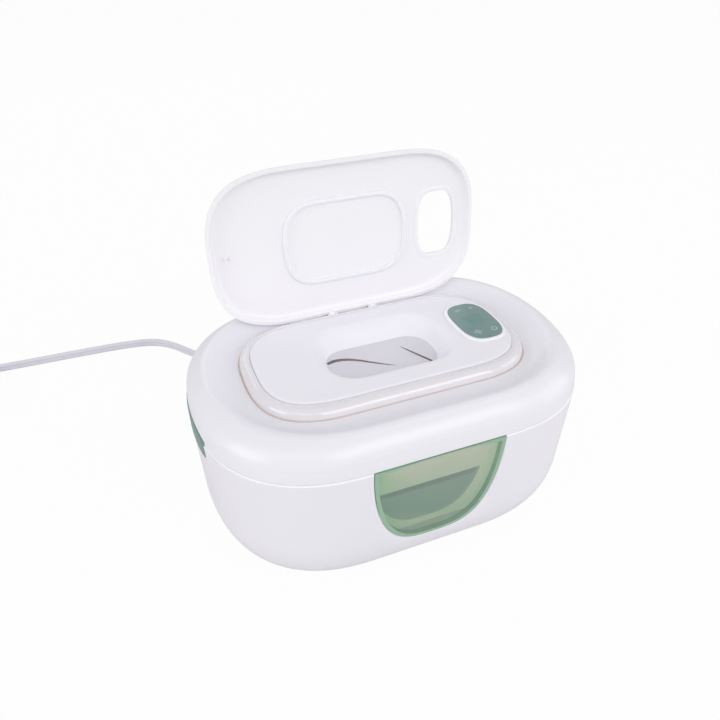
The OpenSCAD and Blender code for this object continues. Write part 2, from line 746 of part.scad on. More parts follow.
// ---- release latch -------------------------------------------------------------------------------

// Height, half width, drop of the row towards its ends, and offset of the outer face
latch_rows = [[-11.5, 23.2, 0, 0.3], [-11.1, 24.4, 0, 0.05], [-10.3, 25.3, 0, 0.05],
    [-9, 25.8, 0, 0.05], [-0.4, 26.6, 0, 0], [0, latch_w, 0, 0], [1, latch_w, 0.4, 0.1],
    [3.4, latch_w, 2.2, 0.45], [latch_top, latch_w - 0.5, 2.4, 0.9]];

module release_latch() {
    color("mediumseagreen") difference() {
        union() {
            skin([for (v = latch_rows)
                [for (face = [0, 1], i = [-8:8])
                    let (s = (face == 0 ? -i : i) / 8, y = v[1] * s, z = seam_h + v[0] - v[2] * s * s)
                    [end_x(y, v[3] + face * latch_t), y, z]]], strip = true);
            for (s = [-1, 1]) {
                rod_y(latch_x, latch_z, latch_hub_r, s * 11 - 3, s * 11 + 3);
                translate([0, s * 11, 0])
                    box([-123.6, -3, latch_z - 1.4], [latch_x, 3, latch_z + 1.4]);
            }
            box([-123.4, -7, seam_h + 1.6], [-120.9, 7, seam_h + 3]);
            rod_x(0, spring_z, 2.4, -124, spring_x[1] - 0.65);
        }
        rod_y(latch_x, latch_z, latch_pin_r + fit, -30, 30);
    }
}

module latch_pin() {
    color("silver") rod_y(latch_x, latch_z, latch_pin_r, -16.4, 16.4);
}

spring_z = seam_h - 9.1;
spring_x = [latch_room - 0.35, -122.3];
spring_turns = 4;

module latch_spring() {
    path = [for (i = [0:8 * spring_turns]) let (a = 45 * i)
        [spring_x[0] + (spring_x[1] - spring_x[0]) * i / (8 * spring_turns),
         2 * cos(a), spring_z + 2 * sin(a)]];
    color("silver") tube(path, round_section(0.3, 6));
}

// ---- flip lid --------------------------------------------------------------------------------------

lid_t = 2;
lid_top = 6.4;        // height of the shut lid above its rim
lid_in = lid_top - lid_t;
cut_w = 27;           // hole over the touch panel
cut_d = 44.5;
cut_at = [panel_x, 1 - lid_y, 0];
rib_at = [0, 0.6, 0];
bumpers = [[-82.2, 0.8], [-78.6, 0.8]];

function lid_cut(g) = plan(cut_w / 2 + g, cut_d / 2 + g, 2, 2.8);

module flip_lid() {
    color("whitesmoke") lid_pose() difference() {
        union() {
            skin([at(lid(0), 0), at(lid(-0.15), 1.6), at(lid(-0.7), 3.3), at(lid(-2.2), 4.8),
                at(lid(-5), 5.8), at(lid(-11), 6.3), at(lid(-22), lid_top), at(lid(-26), lid_in),
                at(lid(-6), lid_in), at(lid(-3.8), lid_in - 0.4), at(lid(-2.3), lid_in - 1.5),
                at(lid(-1.5), lid_in - 3), at(lid(-1.3), 0)], true);
            slab(lid(-21.5), lid_in, lid_t);
            translate(rib_at) slab_ring(rib(0.6), rib(-0.6), lid_in - 0.9, 1.1);
            for (s = [-1, 1]) lid_arm(s * lid_arm_x);
        }
        translate(cut_at) slab(lid_cut(0), lid_in - 2, lid_t + 4);
        for (b = bumpers) translate([b[0], b[1], lid_in - 1]) cylinder(r = 1.1 + fit, h = 1.9 + fit);
        translate([0, lid_axis[0] - lid_y, lid_axis[1] - lid_rim]) rod_x(0, 0, lid_pin_r + fit, -30, 30);
    }
}

module lid_arm(x) {
    y = lid_axis[0] - lid_y;
    z = lid_axis[1] - lid_rim;
    rod_x(y, z, lid_arm_r, x - lid_arm_w / 2, x + lid_arm_w / 2);
    box([x - lid_arm_w / 2, y - 1.3, z], [x + lid_arm_w / 2, y + 0.6, 1.5]);
}

module lid_seal() {
    color("white") lid_pose() translate(rib_at) difference() {
        slab_ring(rib(1.5), rib(-1.5), lid_in - 1.65, 1.6);
        slab_ring(rib(0.65), rib(-0.65), lid_in - 0.95, 2);
    }
}

module lid_bumpers() {
    color("whitesmoke") lid_pose() for (b = bumpers)
        translate([b[0], b[1], lid_in - 1.65]) cylinder(r = 1.1, h = 2.5);
}

lower_housing();
front_window();
inner_tank();
tank_seal();
heating_plate();
heater_film();
insulation_pad();
thermistor();
thermal_fuse();
base_plate();
rubber_feet();
base_screws();
power_board();
board_parts();
board_screws();
inner_wiring();
contact_pins();
latch_pin();
latch_spring();
main_hinge_pin();
strain_relief();
power_cord();
cord_coil();
cord_tie();
plug_body();
plug_blades();
upper_cover();
light_ring();
ring_gasket();
top_deck();
panel_bezel();
panel_glass();
touch_board();
led_board();
led_chips();
flap_seal();
flap_retainer();
inner_cover();
cover_screws();
contact_pads();
lid_hinge_pins();
release_latch();
flip_lid();
lid_seal();
lid_bumpers();
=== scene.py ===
"""Looks for the baby wipe warmer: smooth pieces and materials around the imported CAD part."""
import math

import bmesh
import bpy
import numpy as np
from mathutils import Matrix, Vector


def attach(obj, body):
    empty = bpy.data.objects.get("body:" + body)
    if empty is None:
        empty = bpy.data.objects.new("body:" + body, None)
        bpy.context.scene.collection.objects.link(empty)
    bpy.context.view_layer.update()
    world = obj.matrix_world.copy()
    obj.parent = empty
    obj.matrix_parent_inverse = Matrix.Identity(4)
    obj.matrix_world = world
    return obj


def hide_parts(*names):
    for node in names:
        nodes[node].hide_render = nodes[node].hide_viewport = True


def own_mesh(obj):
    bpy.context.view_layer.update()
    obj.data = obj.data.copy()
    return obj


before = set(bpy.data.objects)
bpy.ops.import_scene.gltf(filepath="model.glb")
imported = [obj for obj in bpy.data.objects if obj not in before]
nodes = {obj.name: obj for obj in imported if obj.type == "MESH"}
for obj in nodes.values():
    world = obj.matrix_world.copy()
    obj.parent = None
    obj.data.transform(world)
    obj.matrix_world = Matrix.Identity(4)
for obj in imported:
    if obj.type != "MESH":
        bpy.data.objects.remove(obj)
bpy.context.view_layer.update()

MM = 0.001
SEAM = 93.5  # height of the seam between housing and cover, in mm
STEPS = 40  # points on a quarter of an outline

# The body's outline at the seam: half its length and depth, straight part, exponent and shift
HALF_X, HALF_Y, FLAT, POWER, SHIFT = 125, 85.6, 38.9, 2.48, 4.4
# The housing's wall: how much it narrows for each mm down, where its rounded bottom edge begins
# below the seam, and that edge's height and reach inwards
TAPER, EDGE_DOWN, EDGE_H, EDGE_IN = 0.04, 54.3, 37.7, 18.7
CORD_EXIT = (-38, 24)  # x and z of the middle of the strain relief


# ---- camera -------------------------------------------------------------------------------------

def add_camera():
    az, el, roll = (math.radians(v) for v in (-21.56, 35.0, -0.5))
    back = Vector((math.sin(az) * math.cos(el), -math.cos(az) * math.cos(el), math.sin(el)))
    right = Vector((math.cos(az), math.sin(az), 0))
    up = back.cross(right)
    r2 = math.cos(roll) * right + math.sin(roll) * up
    u2 = -math.sin(roll) * right + math.cos(roll) * up
    data = bpy.data.cameras.new("camera")
    data.sensor_fit = "HORIZONTAL"
    data.sensor_width = 36
    data.lens = 661.27 / 720 * 36
    data.clip_start = 0.01
    data.clip_end = 30
    camera = bpy.data.objects.new("camera", data)
    bpy.context.scene.collection.objects.link(camera)
    place = (back * 432.96 - right * 14.36 + up * 7.26 + Vector((0, 0, SEAM))) * MM
    turn = Matrix((r2, u2, back)).transposed().to_4x4()
    camera.matrix_world = Matrix.Translation(place) @ turn
    bpy.context.scene.camera = camera


# ---- outlines and profiles, in mm ---------------------------------------------------------------

def plan(a, b, f, m, e=0.0, steps=STEPS):
    """Oval outline: straight for f each side of the middle, ends of exponent m, centred e inside."""
    cx, cy = a - f, b + e
    t0 = math.asin((e / cy) ** (m / 2)) if e > 0 else 0.0
    t = t0 + (math.pi / 2 - t0) * np.linspace(0, 1, steps + 1)
    q = np.c_[f + cx * np.maximum(np.cos(t), 0) ** (2 / m), cy * np.sin(t) ** (2 / m) - e]
    back = q[:0:-1]
    return np.vstack([q, back * [-1, 1], -q, back * [1, -1]])


# Each outline is grown by g, and the body's is drawn o inside its seam line.

def body(o):
    return plan(HALF_X - o, HALF_Y - o, FLAT - o / 2, POWER, SHIFT + o / 2)


def ring(g):
    return plan(89.95 + g, 50.55 + g, 38.9, 2.75)


def deck(g):
    return plan(82.85 + g, 42.65 + g, 32.3, 3.1)


def mouth(g, h=0.0):
    return plan(36 + g, 19 + g + h, 18, 2.6)


def panel(g):
    return plan(13.7 + g, 21.85 + g, 0, 2.9)


def lid(g):
    return plan(93.05 + g, 52.75 + g, 32.5, 2.91)


def rib(g):
    return plan(43.2 + g, 28.2 + g, 18, 2.7)


def lid_cut(g):
    return plan(13.5 + g, 22.25 + g, 2, 2.8)


def at(p, z):
    return np.c_[p, np.full(len(p), float(z))]


def stack(outline, rows, z=0.0):
    """Rings of an outline, from rows of its offset and its height above z."""
    return [at(outline(g), z + h) for g, h in rows]


def mix(p, q, s):
    return (1 - s) * p + s * q


def dish(s):
    return mix(body(16), ring(0.9), s)


def smooth(points, per=6):
    """Catmull-Rom curve through points of any dimension, per steps between each two."""
    p = [np.asarray(v, float) for v in points]
    p = [2 * p[0] - p[1], *p, 2 * p[-1] - p[-2]]
    gap = [max(float(np.abs(b - a).reshape(len(a), -1).max(0).mean()) if a.ndim > 1
               else float(np.linalg.norm(b - a)), 1e-6) ** 0.5 for a, b in zip(p, p[1:])]
    out = [p[1]]
    for i in range(1, len(p) - 2):
        t = np.cumsum([0, gap[i - 1], gap[i], gap[i + 1]])
        for k in range(1, per + 1):
            u = t[1] + (t[2] - t[1]) * k / per
            a = [((t[j + 1] - u) * p[i - 1 + j] + (u - t[j]) * p[i + j]) / (t[j + 1] - t[j])
                 for j in range(3)]
            b = [((t[j + 2] - u) * a[j] + (u - t[j]) * a[j + 1]) / (t[j + 2] - t[j]) for j in range(2)]
            out.append(((t[2] - u) * b[0] + (u - t[1]) * b[1]) / (t[2] - t[1]))
    return out


def corner(a, b, c, r, n=4):
    """Points that round the corner b between a and c, r from it."""
    a, b, c = (np.asarray(v, float) for v in (a, b, c))
    p = b + (a - b) * min(1, r / max(np.linalg.norm(a - b), 1e-9))
    q = b + (c - b) * min(1, r / max(np.linalg.norm(c - b), 1e-9))
    return [(1 - t) ** 2 * p + 2 * t * (1 - t) * b + t * t * q for t in np.linspace(0, 1, n + 1)]


def rounded(points, radii, closed=False):
    """Polyline with its corners rounded. radii are one for each point."""
    n, out = len(points), []
    for i, (b, r) in enumerate(zip(points, radii)):
        ends = not closed and i in (0, n - 1)
        if ends or r == 0:
            out.append(np.asarray(b, float))
        else:
            out += corner(points[i - 1], b, points[(i + 1) % n], r)
    return out


# ---- meshes -------------------------------------------------------------------------------------

def skin(rings, loop=False, caps=True):
    """Vertices and faces over outlines of one length; normals are right of the way they go."""
    rings = [np.asarray(r, float) for r in rings]
    n, k = len(rings[0]), len(rings)
    i, j = np.meshgrid(np.arange(k if loop else k - 1), np.arange(n), indexing="ij")
    a, b = i * n + j, i * n + (j + 1) % n
    d, c = (i + 1) % k * n + j, (i + 1) % k * n + (j + 1) % n
    faces = np.stack([a, b, c, d], -1).reshape(-1, 4).tolist()
    if not loop and caps:
        faces += [list(range(n))[::-1], list(range((k - 1) * n, k * n))]
    return np.vstack(rings), faces


def merged(*parts):
    """Several (vertices, faces) as one."""
    verts, faces, base = [], [], 0
    for v, f in parts:
        verts.append(np.asarray(v, float))
        faces += [[i + base for i in face] for face in f]
        base += len(v)
    return np.vstack(verts), faces


def band(outer, inner, z0, z1, r):
    """Flat ring between two outlines, with its edges rounded by r."""
    def edge(p, s, z):
        c = p - p.mean(0)
        return at(p - s * c / np.linalg.norm(c, axis=1)[:, None], z)
    side = [(r, z0), (r * 0.3, z0 + r * 0.3), (0, z0 + r), (0, z1 - r), (r * 0.3, z1 - r * 0.3), (r, z1)]
    return skin([edge(outer, s, z) for s, z in side] + [edge(inner, -s, z) for s, z in side[::-1]],
                loop=True)


def prism(p, z0, z1):
    return skin([at(p, z0), at(p, z1)])


def moved(part, turn=None, by=(0, 0, 0)):
    v, f = part
    v = np.asarray(v, float)
    if turn is not None:
        v = v @ np.array(turn.to_3x3()).T
    return v + np.array(by, float), f


def rod(axis, centre, r, lo, hi, n=40, bevel=0.15):
    """Round rod along x, y or z with bevelled ends. centre is its place on the other two axes."""
    t = np.linspace(0, 2 * math.pi, n, endpoint=False)
    circle = np.c_[np.cos(t), np.sin(t)]
    out = []
    for s, h in ((r - bevel, lo), (r, lo + bevel), (r, hi - bevel), (r - bevel, hi)):
        u, w = circle[:, 0] * s, circle[:, 1] * s
        if axis == "x":
            out.append(np.c_[np.full(n, h), centre[0] + u, centre[1] + w])
        elif axis == "y":
            out.append(np.c_[centre[0] + w, np.full(n, h), centre[1] + u])
        else:
            out.append(np.c_[centre[0] + u, centre[1] + w, np.full(n, h)])
    return skin(out)


def block(lo, hi, r=0.15):
    """Box with its upright edges rounded."""
    (x0, y0, z0), (x1, y1, z1) = lo, hi
    r = min(r, (x1 - x0) / 3, (y1 - y0) / 3)
    p = np.array(rounded([(x1, y0), (x1, y1), (x0, y1), (x0, y0)], [r] * 4, True))
    return prism(p, z0, z1)


def end_x(y, o):
    """x of the body's left end at y, o inside its seam line."""
    f, e = FLAT - o / 2, SHIFT + o / 2
    return -f - (HALF_X - o - f) * (1 - ((np.abs(y) + e) / (HALF_Y - o + e)) ** POWER) ** (1 / POWER)


def end_plate(x0, x1, z0, z1, o, half=30):
    """Level plate from x1 outwards to x0, kept o inside the body's left end."""
    y = np.linspace(half, -half, 31)
    return prism(np.vstack([[(x1, -half), (x1, half)], np.c_[np.maximum(end_x(y, o), x0), y]]), z0, z1)


def mesh_object(name, part):
    verts, faces = part
    mesh = bpy.data.meshes.new(name)
    mesh.from_pydata((np.asarray(verts) * MM).tolist(), [], faces)
    mesh.validate()
    obj = bpy.data.objects.new(name, mesh)
    bpy.context.scene.collection.objects.link(obj)
    return obj


def tidy_normals(obj):
    bm = bmesh.new()
    bm.from_mesh(obj.data)
    bmesh.ops.remove_doubles(bm, verts=bm.verts, dist=1e-7)
    bmesh.ops.recalc_face_normals(bm, faces=bm.faces)
    bm.to_mesh(obj.data)
    bm.free()


def boolean(obj, part, how="DIFFERENCE"):
    """Cuts obj by a part, or keeps what lies inside it."""
    tool = mesh_object("tool", part)
    tidy_normals(tool)
    mod = obj.modifiers.new("cut", "BOOLEAN")
    mod.object, mod.operation, mod.solver = tool, how, "EXACT"
    bpy.context.view_layer.update()
    done = bpy.data.meshes.new_from_object(obj.evaluated_get(bpy.context.evaluated_depsgraph_get()))
    obj.modifiers.clear()
    old, obj.data = obj.data, done
    bpy.data.meshes.remove(old)
    bpy.data.objects.remove(tool)


def absorb(obj, other):
    """Adds the mesh of other to that of obj, and deletes other."""
    bm = bmesh.new()
    bm.from_mesh(obj.data)
    bm.from_mesh(other.data)
    bm.to_mesh(obj.data)
    bm.free()
    bpy.data.objects.remove(other)


def join_part(obj, part):
    """Adds a part to the mesh of obj."""
    other = mesh_object("other", part)
    tidy_normals(other)
    absorb(obj, other)


def places(obj):
    """Places of obj's vertices, in mm."""
    co = np.zeros(len(obj.data.vertices) * 3)
    obj.data.vertices.foreach_get("co", co)
    return co.reshape(-1, 3) / MM


def put(obj, co):
    """Moves obj's vertices to places in mm."""
    obj.data.vertices.foreach_set("co", (co * MM).ravel())
    obj.data.update()


def finished(obj, material, group, replaced=(), angle=34):
    """Shades, paints and hangs a piece on its body."""
    mesh = obj.data
    mesh.polygons.foreach_set("use_smooth", np.ones(len(mesh.polygons), bool))
    mesh.set_sharp_from_angle(angle=math.radians(angle))
    mesh.materials.clear()
    mesh.materials.append(material)
    mesh.update()
    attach(obj, group)
    if replaced:
        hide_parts(*replaced)
    return obj


def piece(name, part, material, group, replaced=(), angle=34):
    obj = mesh_object(name, part)
    tidy_normals(obj)
    return finished(obj, material, group, replaced, angle)


# ---- materials ----------------------------------------------------------------------------------

def fill(node, values):
    """Sets the sockets of a node."""
    for socket, value in values.items():
        node.inputs[socket].default_value = value


def add_node(nt, kind, values):
    node = nt.nodes.new("ShaderNode" + kind)
    fill(node, values)
    return node


def moulded(name, color, rough, tint=0.02, tint_scale=18.0, rough_vary=0.05, grain=900.0,
            bump=0.02, metallic=0.0, coat=0.0, subsurface=0.0, sheen=0.0, glow=0.0,
            glow_color=(1, 0.86, 0.83), fade=None):
    """A surface with slight colour drift, uneven gloss and a fine grain.

    glow is painted light: the surface shines by itself in glow_color. fade is an axis, two places on
    it, and the share of the colour that is left at the second; it is painted shade along that axis."""
    m = bpy.data.materials.new(name)
    m.use_nodes = True
    nt = m.node_tree
    shader = nt.nodes["Principled BSDF"]
    fill(shader, {"Metallic": metallic, "Coat Weight": coat, "Coat Roughness": 0.06,
                  "Sheen Weight": sheen})
    if glow:
        fill(shader, {"Emission Color": (*glow_color, 1), "Emission Strength": glow})
    if subsurface:
        fill(shader, {"Subsurface Weight": subsurface, "Subsurface Radius": (0.004, 0.003, 0.002),
                      "Subsurface Scale": 0.5})
    where = nt.nodes.new("ShaderNodeTexCoord")
    drift = add_node(nt, "TexNoise", {"Scale": tint_scale, "Detail": 3})
    nt.links.new(where.outputs["Object"], drift.inputs["Vector"])
    paint = nt.nodes.new("ShaderNodeValToRGB")
    low = [max(0.0, c * (1 - tint)) for c in color]
    high = [min(1.0, c * (1 + tint)) for c in color]
    paint.color_ramp.elements[0].position, paint.color_ramp.elements[1].position = 0.3, 0.7
    paint.color_ramp.elements[0].color = (*low, 1)
    paint.color_ramp.elements[1].color = (*high, 1)
    nt.links.new(drift.outputs["Fac"], paint.inputs["Fac"])
    if fade:
        height = nt.nodes.new("ShaderNodeSeparateXYZ")
        nt.links.new(where.outputs["Object"], height.inputs["Vector"])
        drop = add_node(nt, "MapRange", {"From Min": fade[1], "From Max": fade[2], "To Min": 1.0,
                                         "To Max": fade[3]})
        nt.links.new(height.outputs[fade[0]], drop.inputs["Value"])
        scaled = nt.nodes.new("ShaderNodeVectorMath")
        scaled.operation = "SCALE"
        nt.links.new(paint.outputs["Color"], scaled.inputs[0])
        nt.links.new(drop.outputs["Result"], scaled.inputs["Scale"])
        nt.links.new(scaled.outputs["Vector"], shader.inputs["Base Color"])
    else:
        nt.links.new(paint.outputs["Color"], shader.inputs["Base Color"])
    gloss = add_node(nt, "MapRange", {"To Min": max(0.0, rough - rough_vary),
                                      "To Max": min(1.0, rough + rough_vary)})
    nt.links.new(drift.outputs["Fac"], gloss.inputs["Value"])
    nt.links.new(gloss.outputs["Result"], shader.inputs["Roughness"])
    fine = add_node(nt, "TexNoise", {"Scale": grain, "Detail": 2})
    nt.links.new(where.outputs["Object"], fine.inputs["Vector"])
    relief = add_node(nt, "Bump", {"Strength": bump, "Distance": 0.001})
    nt.links.new(fine.outputs["Fac"], relief.inputs["Height"])
    nt.links.new(relief.outputs["Normal"], shader.inputs["Normal"])
    return m


def tinted(name, through, edge, surface, cover, rough):
    """Thin tinted plastic, glossy and by the share cover milky on its outer face.

    through is its colour over most of the pane, and edge a greener, darker colour near its curved
    edge. The mesh says where, in its attributes rim and outer."""
    m = moulded(name, surface, rough, tint=0.04, tint_scale=40, bump=0.01, grain=300, coat=0.5)
    nt = m.node_tree

    def mask(attribute):
        node = nt.nodes.new("ShaderNodeAttribute")
        node.attribute_name = attribute
        return node.outputs["Fac"]

    def between(kind, factor, a, b):
        node = nt.nodes.new("ShaderNodeMix")
        node.data_type = kind
        nt.links.new(factor, node.inputs["Factor"])
        side = 2 if kind == "FLOAT" else 6
        node.inputs[side].default_value, node.inputs[side + 1].default_value = a, b
        return node.outputs[0 if kind == "FLOAT" else 2]
    clear = nt.nodes.new("ShaderNodeBsdfTransparent")
    nt.links.new(between("RGBA", mask("rim"), (*through, 1), (*edge, 1)), clear.inputs["Color"])
    both = nt.nodes.new("ShaderNodeMixShader")
    nt.links.new(between("FLOAT", mask("outer"), 0.04, cover), both.inputs["Fac"])
    nt.links.new(clear.outputs["BSDF"], both.inputs[1])
    nt.links.new(nt.nodes["Principled BSDF"].outputs["BSDF"], both.inputs[2])
    nt.links.new(both.outputs["Shader"], nt.nodes["Material Output"].inputs["Surface"])
    return m


def srgb(*levels):
    """Linear colour of sRGB levels from 0 to 255."""
    shares = [v / 255 for v in levels]
    return tuple(x / 12.92 if x <= 0.04045 else ((x + 0.055) / 1.055) ** 2.4 for x in shares)


WHITE = moulded("white_gloss", srgb(238, 236, 242), 0.34, 0.006, 12, 0.03, 700, 0.006, coat=0.12)
# Painted highlight: a lighter copy of the white plastic with a faint glow, for the housing's top edge
# along the seam.
EDGE = moulded("seam_painted_highlight", srgb(246, 245, 249), 0.3, 0.003, 12, 0.03, 700, 0.004, coat=0.15,
               glow=0.03, glow_color=(1, 1, 1))
COVER = moulded("cover_gloss", srgb(238, 237, 243), 0.30, 0.006, 12, 0.03, 700, 0.006, coat=0.15)
# Painted light and shade: the lid is the cover's white plastic painted lighter for the light on its inner
# face, and its fade along Z is painted shade, darker towards its top.
LID = moulded("lid_gloss_painted_light", srgb(253, 252, 255), 0.30, 0.003, 12, 0.03, 700, 0.006, coat=0.15,
              fade=("Z", 0.105, 0.215, 0.9))
DECK = moulded("deck_satin", srgb(241, 240, 246), 0.46, 0.008, 14, 0.04, 1500, 0.03)
RING = moulded("ring_milky", srgb(232, 229, 233), 0.10, 0.008, 20, 0.02, 400, 0.002,
               coat=1.0, subsurface=0.25)
GASKET = moulded("gasket_brown", srgb(218, 198, 190), 0.6, 0.05, 60, 0.05, 900, 0.03)
BEZEL = moulded("bezel_gloss", srgb(246, 246, 250), 0.14, 0.005, 20, 0.02, 500, 0.003, coat=0.7)
PANEL = moulded("panel_green", srgb(118, 147, 143), 0.28, 0.012, 130, 0.03, 500, 0.003, coat=0.1)
ICON = moulded("icon_print", srgb(205, 226, 232), 0.35, 0.04, 200, 0.05, 900, 0.01)
SCREEN = moulded("screen_print", srgb(108, 145, 140), 0.28, 0.012, 90, 0.03, 500, 0.003, coat=0.1)
FLAP = moulded("flap_silicone", srgb(224, 223, 230), 0.55, 0.01, 30, 0.05, 1200, 0.02, subsurface=0.15)
SEAL = moulded("seal_silicone", srgb(247, 246, 250), 0.5, 0.006, 30, 0.05, 1200, 0.02, subsurface=0.15)
LATCH = moulded("latch_green", srgb(100, 134, 124), 0.36, 0.03, 40, 0.05, 900, 0.015, coat=0.1)
# Painted light: the tank's plastic glows by itself.
TANK = moulded("tank_plastic", srgb(244, 234, 226), 0.42, 0.015, 20, 0.05, 900, 0.015, glow=0.37)
# Painted shade and light: the tank's inside faces get a greyer copy of its plastic with a faint bluish
# glow.
TANK_IN = moulded("tank_inside_painted_light", srgb(210, 212, 213), 0.5, 0.02, 20, 0.05, 900, 0.015, glow=0.1,
                  glow_color=(0.8, 0.93, 1))
PLATE = moulded("plate_metal", srgb(176, 180, 182), 0.38, 0.04, 60, 0.08, 1200, 0.03, metallic=1.0)
STEEL = moulded("steel", srgb(190, 190, 192), 0.3, 0.04, 80, 0.08, 1500, 0.03, metallic=1.0)
BRASS = moulded("contact_gold", srgb(212, 175, 96), 0.28, 0.04, 80, 0.06, 1500, 0.02, metallic=1.0)
CORD = moulded("cord_sheath", srgb(226, 224, 233), 0.42, 0.012, 60, 0.05, 900, 0.02)
FEET = moulded("feet_rubber", srgb(58, 58, 60), 0.75, 0.06, 60, 0.08, 1200, 0.06)
SLIT = moulded("slit_shade", srgb(168, 146, 138), 0.8, 0.05, 90, 0.05, 900, 0.02)
TIE = moulded("tie_fabric", srgb(62, 62, 66), 0.95, 0.12, 900, 0.04, 2600, 0.25, sheen=0.4)
BOARD = moulded("board_green", srgb(22, 92, 52), 0.4, 0.08, 60, 0.06, 900, 0.02)
PARTS = moulded("components", srgb(52, 54, 58), 0.5, 0.1, 80, 0.08, 900, 0.03)
FILM = moulded("heater_film", srgb(196, 128, 52), 0.3, 0.06, 60, 0.06, 900, 0.02)
FOAM = moulded("insulation", srgb(224, 218, 202), 0.95, 0.06, 300, 0.03, 900, 0.2)
LEDS = moulded("led_chips", srgb(242, 226, 150), 0.35, 0.04, 80, 0.05, 900, 0.01)
WINDOW = tinted("window_green", (0.96, 0.97, 0.94), (0.76, 0.90, 0.78), srgb(172, 190, 180), 0.30, 0.07)
WINDOW_RIM = moulded("window_rim", srgb(144, 180, 152), 0.16, 0.03, 40, 0.03, 500, 0.004, coat=0.5)


# ---- cord ---------------------------------------------------------------------------------------

CORD_W, CORD_T = 7.2, 3.8
LIE_Z = CORD_W / 2  # height of the cord's middle where it lies on the floor
ROUTE = [(-38, 113, 24), (-38.3, 120, 23.7), (-39.8, 127, 22), (-43, 134.5, 18.2), (-47.5, 142, 13),
         (-53, 150, 8.4), (-59, 158.5, 5.2), (-66, 168, LIE_Z + 0.1), (-74.5, 177.5, LIE_Z),
         (-83, 186, LIE_Z), (-91, 194, LIE_Z), (-98.4, 203, LIE_Z), (-105.7, 213, LIE_Z),
         (-113, 223, LIE_Z), (-121, 231.5, LIE_Z), (-130, 237.5, LIE_Z), (-141, 241.2, LIE_Z),
         (-158, 243.8, LIE_Z), (-180, 245.2, LIE_Z), (-205, 246.2, LIE_Z), (-232, 247, LIE_Z),
         (-258, 247.6, LIE_Z + 0.2), (-280, 248, LIE_Z + 0.8), (-302, 248, LIE_Z + 1)]
# Centre and radius of the coil, its pitch inwards and upwards, and how far it is drawn in where it
# climbs; then its points in a turn, and how many of them wind in and climb
COIL_C, COIL_R = (-310.0, 205.0), 43.0
COIL_PITCH, COIL_RISE, COIL_DRAWN = CORD_T + 0.7, CORD_W + 0.6, 2.0
COIL_STEPS, COIL_IN, COIL_CLIMB = 24, 57, 12
PLUG_AT = (COIL_C[0] - COIL_R, COIL_C[1] - 38, 8.2)


def coil_point(i):
    n = 2 * COIL_IN + COIL_CLIMB
    ramp = min(i - COIL_IN + 4, COIL_IN + COIL_CLIMB + 4 - i) / 4
    r = COIL_R - COIL_PITCH * min(i, n - i, COIL_IN) / COIL_STEPS - COIL_DRAWN * min(max(ramp, 0), 1)
    a = math.radians(90 + 360 * i / COIL_STEPS)
    up = (1 - math.cos(math.pi * min(max((i - COIL_IN) / COIL_CLIMB, 0), 1))) / 2
    return (COIL_C[0] + r * math.cos(a), COIL_C[1] + r * math.sin(a), LIE_Z + 1 + COIL_RISE * up)


def cord_path():
    loops = [coil_point(i) for i in range(2 * COIL_IN + COIL_CLIMB + 1)]
    tail = [(PLUG_AT[0], COIL_C[1] + y, PLUG_AT[2] + z)
            for y, z in ((-8, 4.2), (-16, 3.2), (-24, 1.2), (-31, 0), (-38, 0))]
    return smooth([*ROUTE, *loops, *tail], 4)


def sweep(path, section):
    """Tube of a section of (across, up) points along a path, upright all the way."""
    p = np.array(path)
    d = np.gradient(p, axis=0)
    d /= np.linalg.norm(d, axis=1)[:, None]
    side = np.cross([0, 0, 1], d)
    side /= np.linalg.norm(side, axis=1)[:, None]
    up = np.cross(d, side)
    return skin([c + section[:, :1] * s + section[:, 1:] * u for c, s, u in zip(p, side, up)])


def twin_section():
    """Two round cores side by side, in one sheath with a groove between them."""
    r, c = CORD_T / 2, CORD_W / 2 - CORD_T / 2
    out = []
    for sign in (1, -1):
        for t in np.linspace(-0.22 * math.pi, 1.22 * math.pi, 12):
            out.append((sign * r * math.cos(t), sign * (c + r * math.sin(t))))
    return np.array(out)


add_camera()
path = cord_path()
cord = piece("mains_cord", sweep(path, twin_section()), CORD, "base",
             ["power_cord", "cord_coil"], 60)


def strain_relief():
    """Flanges, and a tapered oval boot with grooves round it."""
    x, z = CORD_EXIT
    n = 48
    t = np.linspace(0, 2 * math.pi, n, endpoint=False)
    rings, y = [], 85.2
    while y < 112.99:
        s = (y - 85.2) / 27.8
        groove = 0.55 if 0.12 < s < 0.9 and (y - 85.2) % 4.4 > 3.0 else 0.0
        a, b = 5.2 - 2.3 * s ** 0.8 - groove, 5.2 - 0.8 * s - groove
        rings.append(np.c_[x + a * np.sin(t), np.full(n, y), z + b * np.cos(t)])
        y += 0.35
    rings.append(np.c_[x + 2.6 * np.sin(t), np.full(n, 113.0), z + 4.1 * np.cos(t)])
    return merged(skin(rings), rod("y", CORD_EXIT, 7, 83.6, 85.6, 56, 0.4),
                  rod("y", CORD_EXIT, 4.95, 74, 86), rod("y", CORD_EXIT, 6.4, 75, 76.9))


relief = piece("cord_relief", strain_relief(), CORD, "base", ["strain_relief"], 50)


def plug():
    rows = smooth([(0, 3, 4.2), (3, 4.4, 4.6), (10, 5.6, 5.2), (13, 8.8, 6.7), (15.5, 11.8, 7.7),
                   (18, 12.5, 8), (32, 12.5, 8), (34, 12.2, 7.7), (35, 11.6, 7.2)], 5)
    rings = []
    for h, a, b in rows:
        p = plan(a, b, 0, 3, steps=14)
        rings.append(np.c_[p[:, 0], np.full(len(p), -h), p[:, 1]])
    return moved(skin(rings), by=PLUG_AT)


plug_piece = piece("mains_plug", plug(), CORD, "base", ["plug_body"], 50)


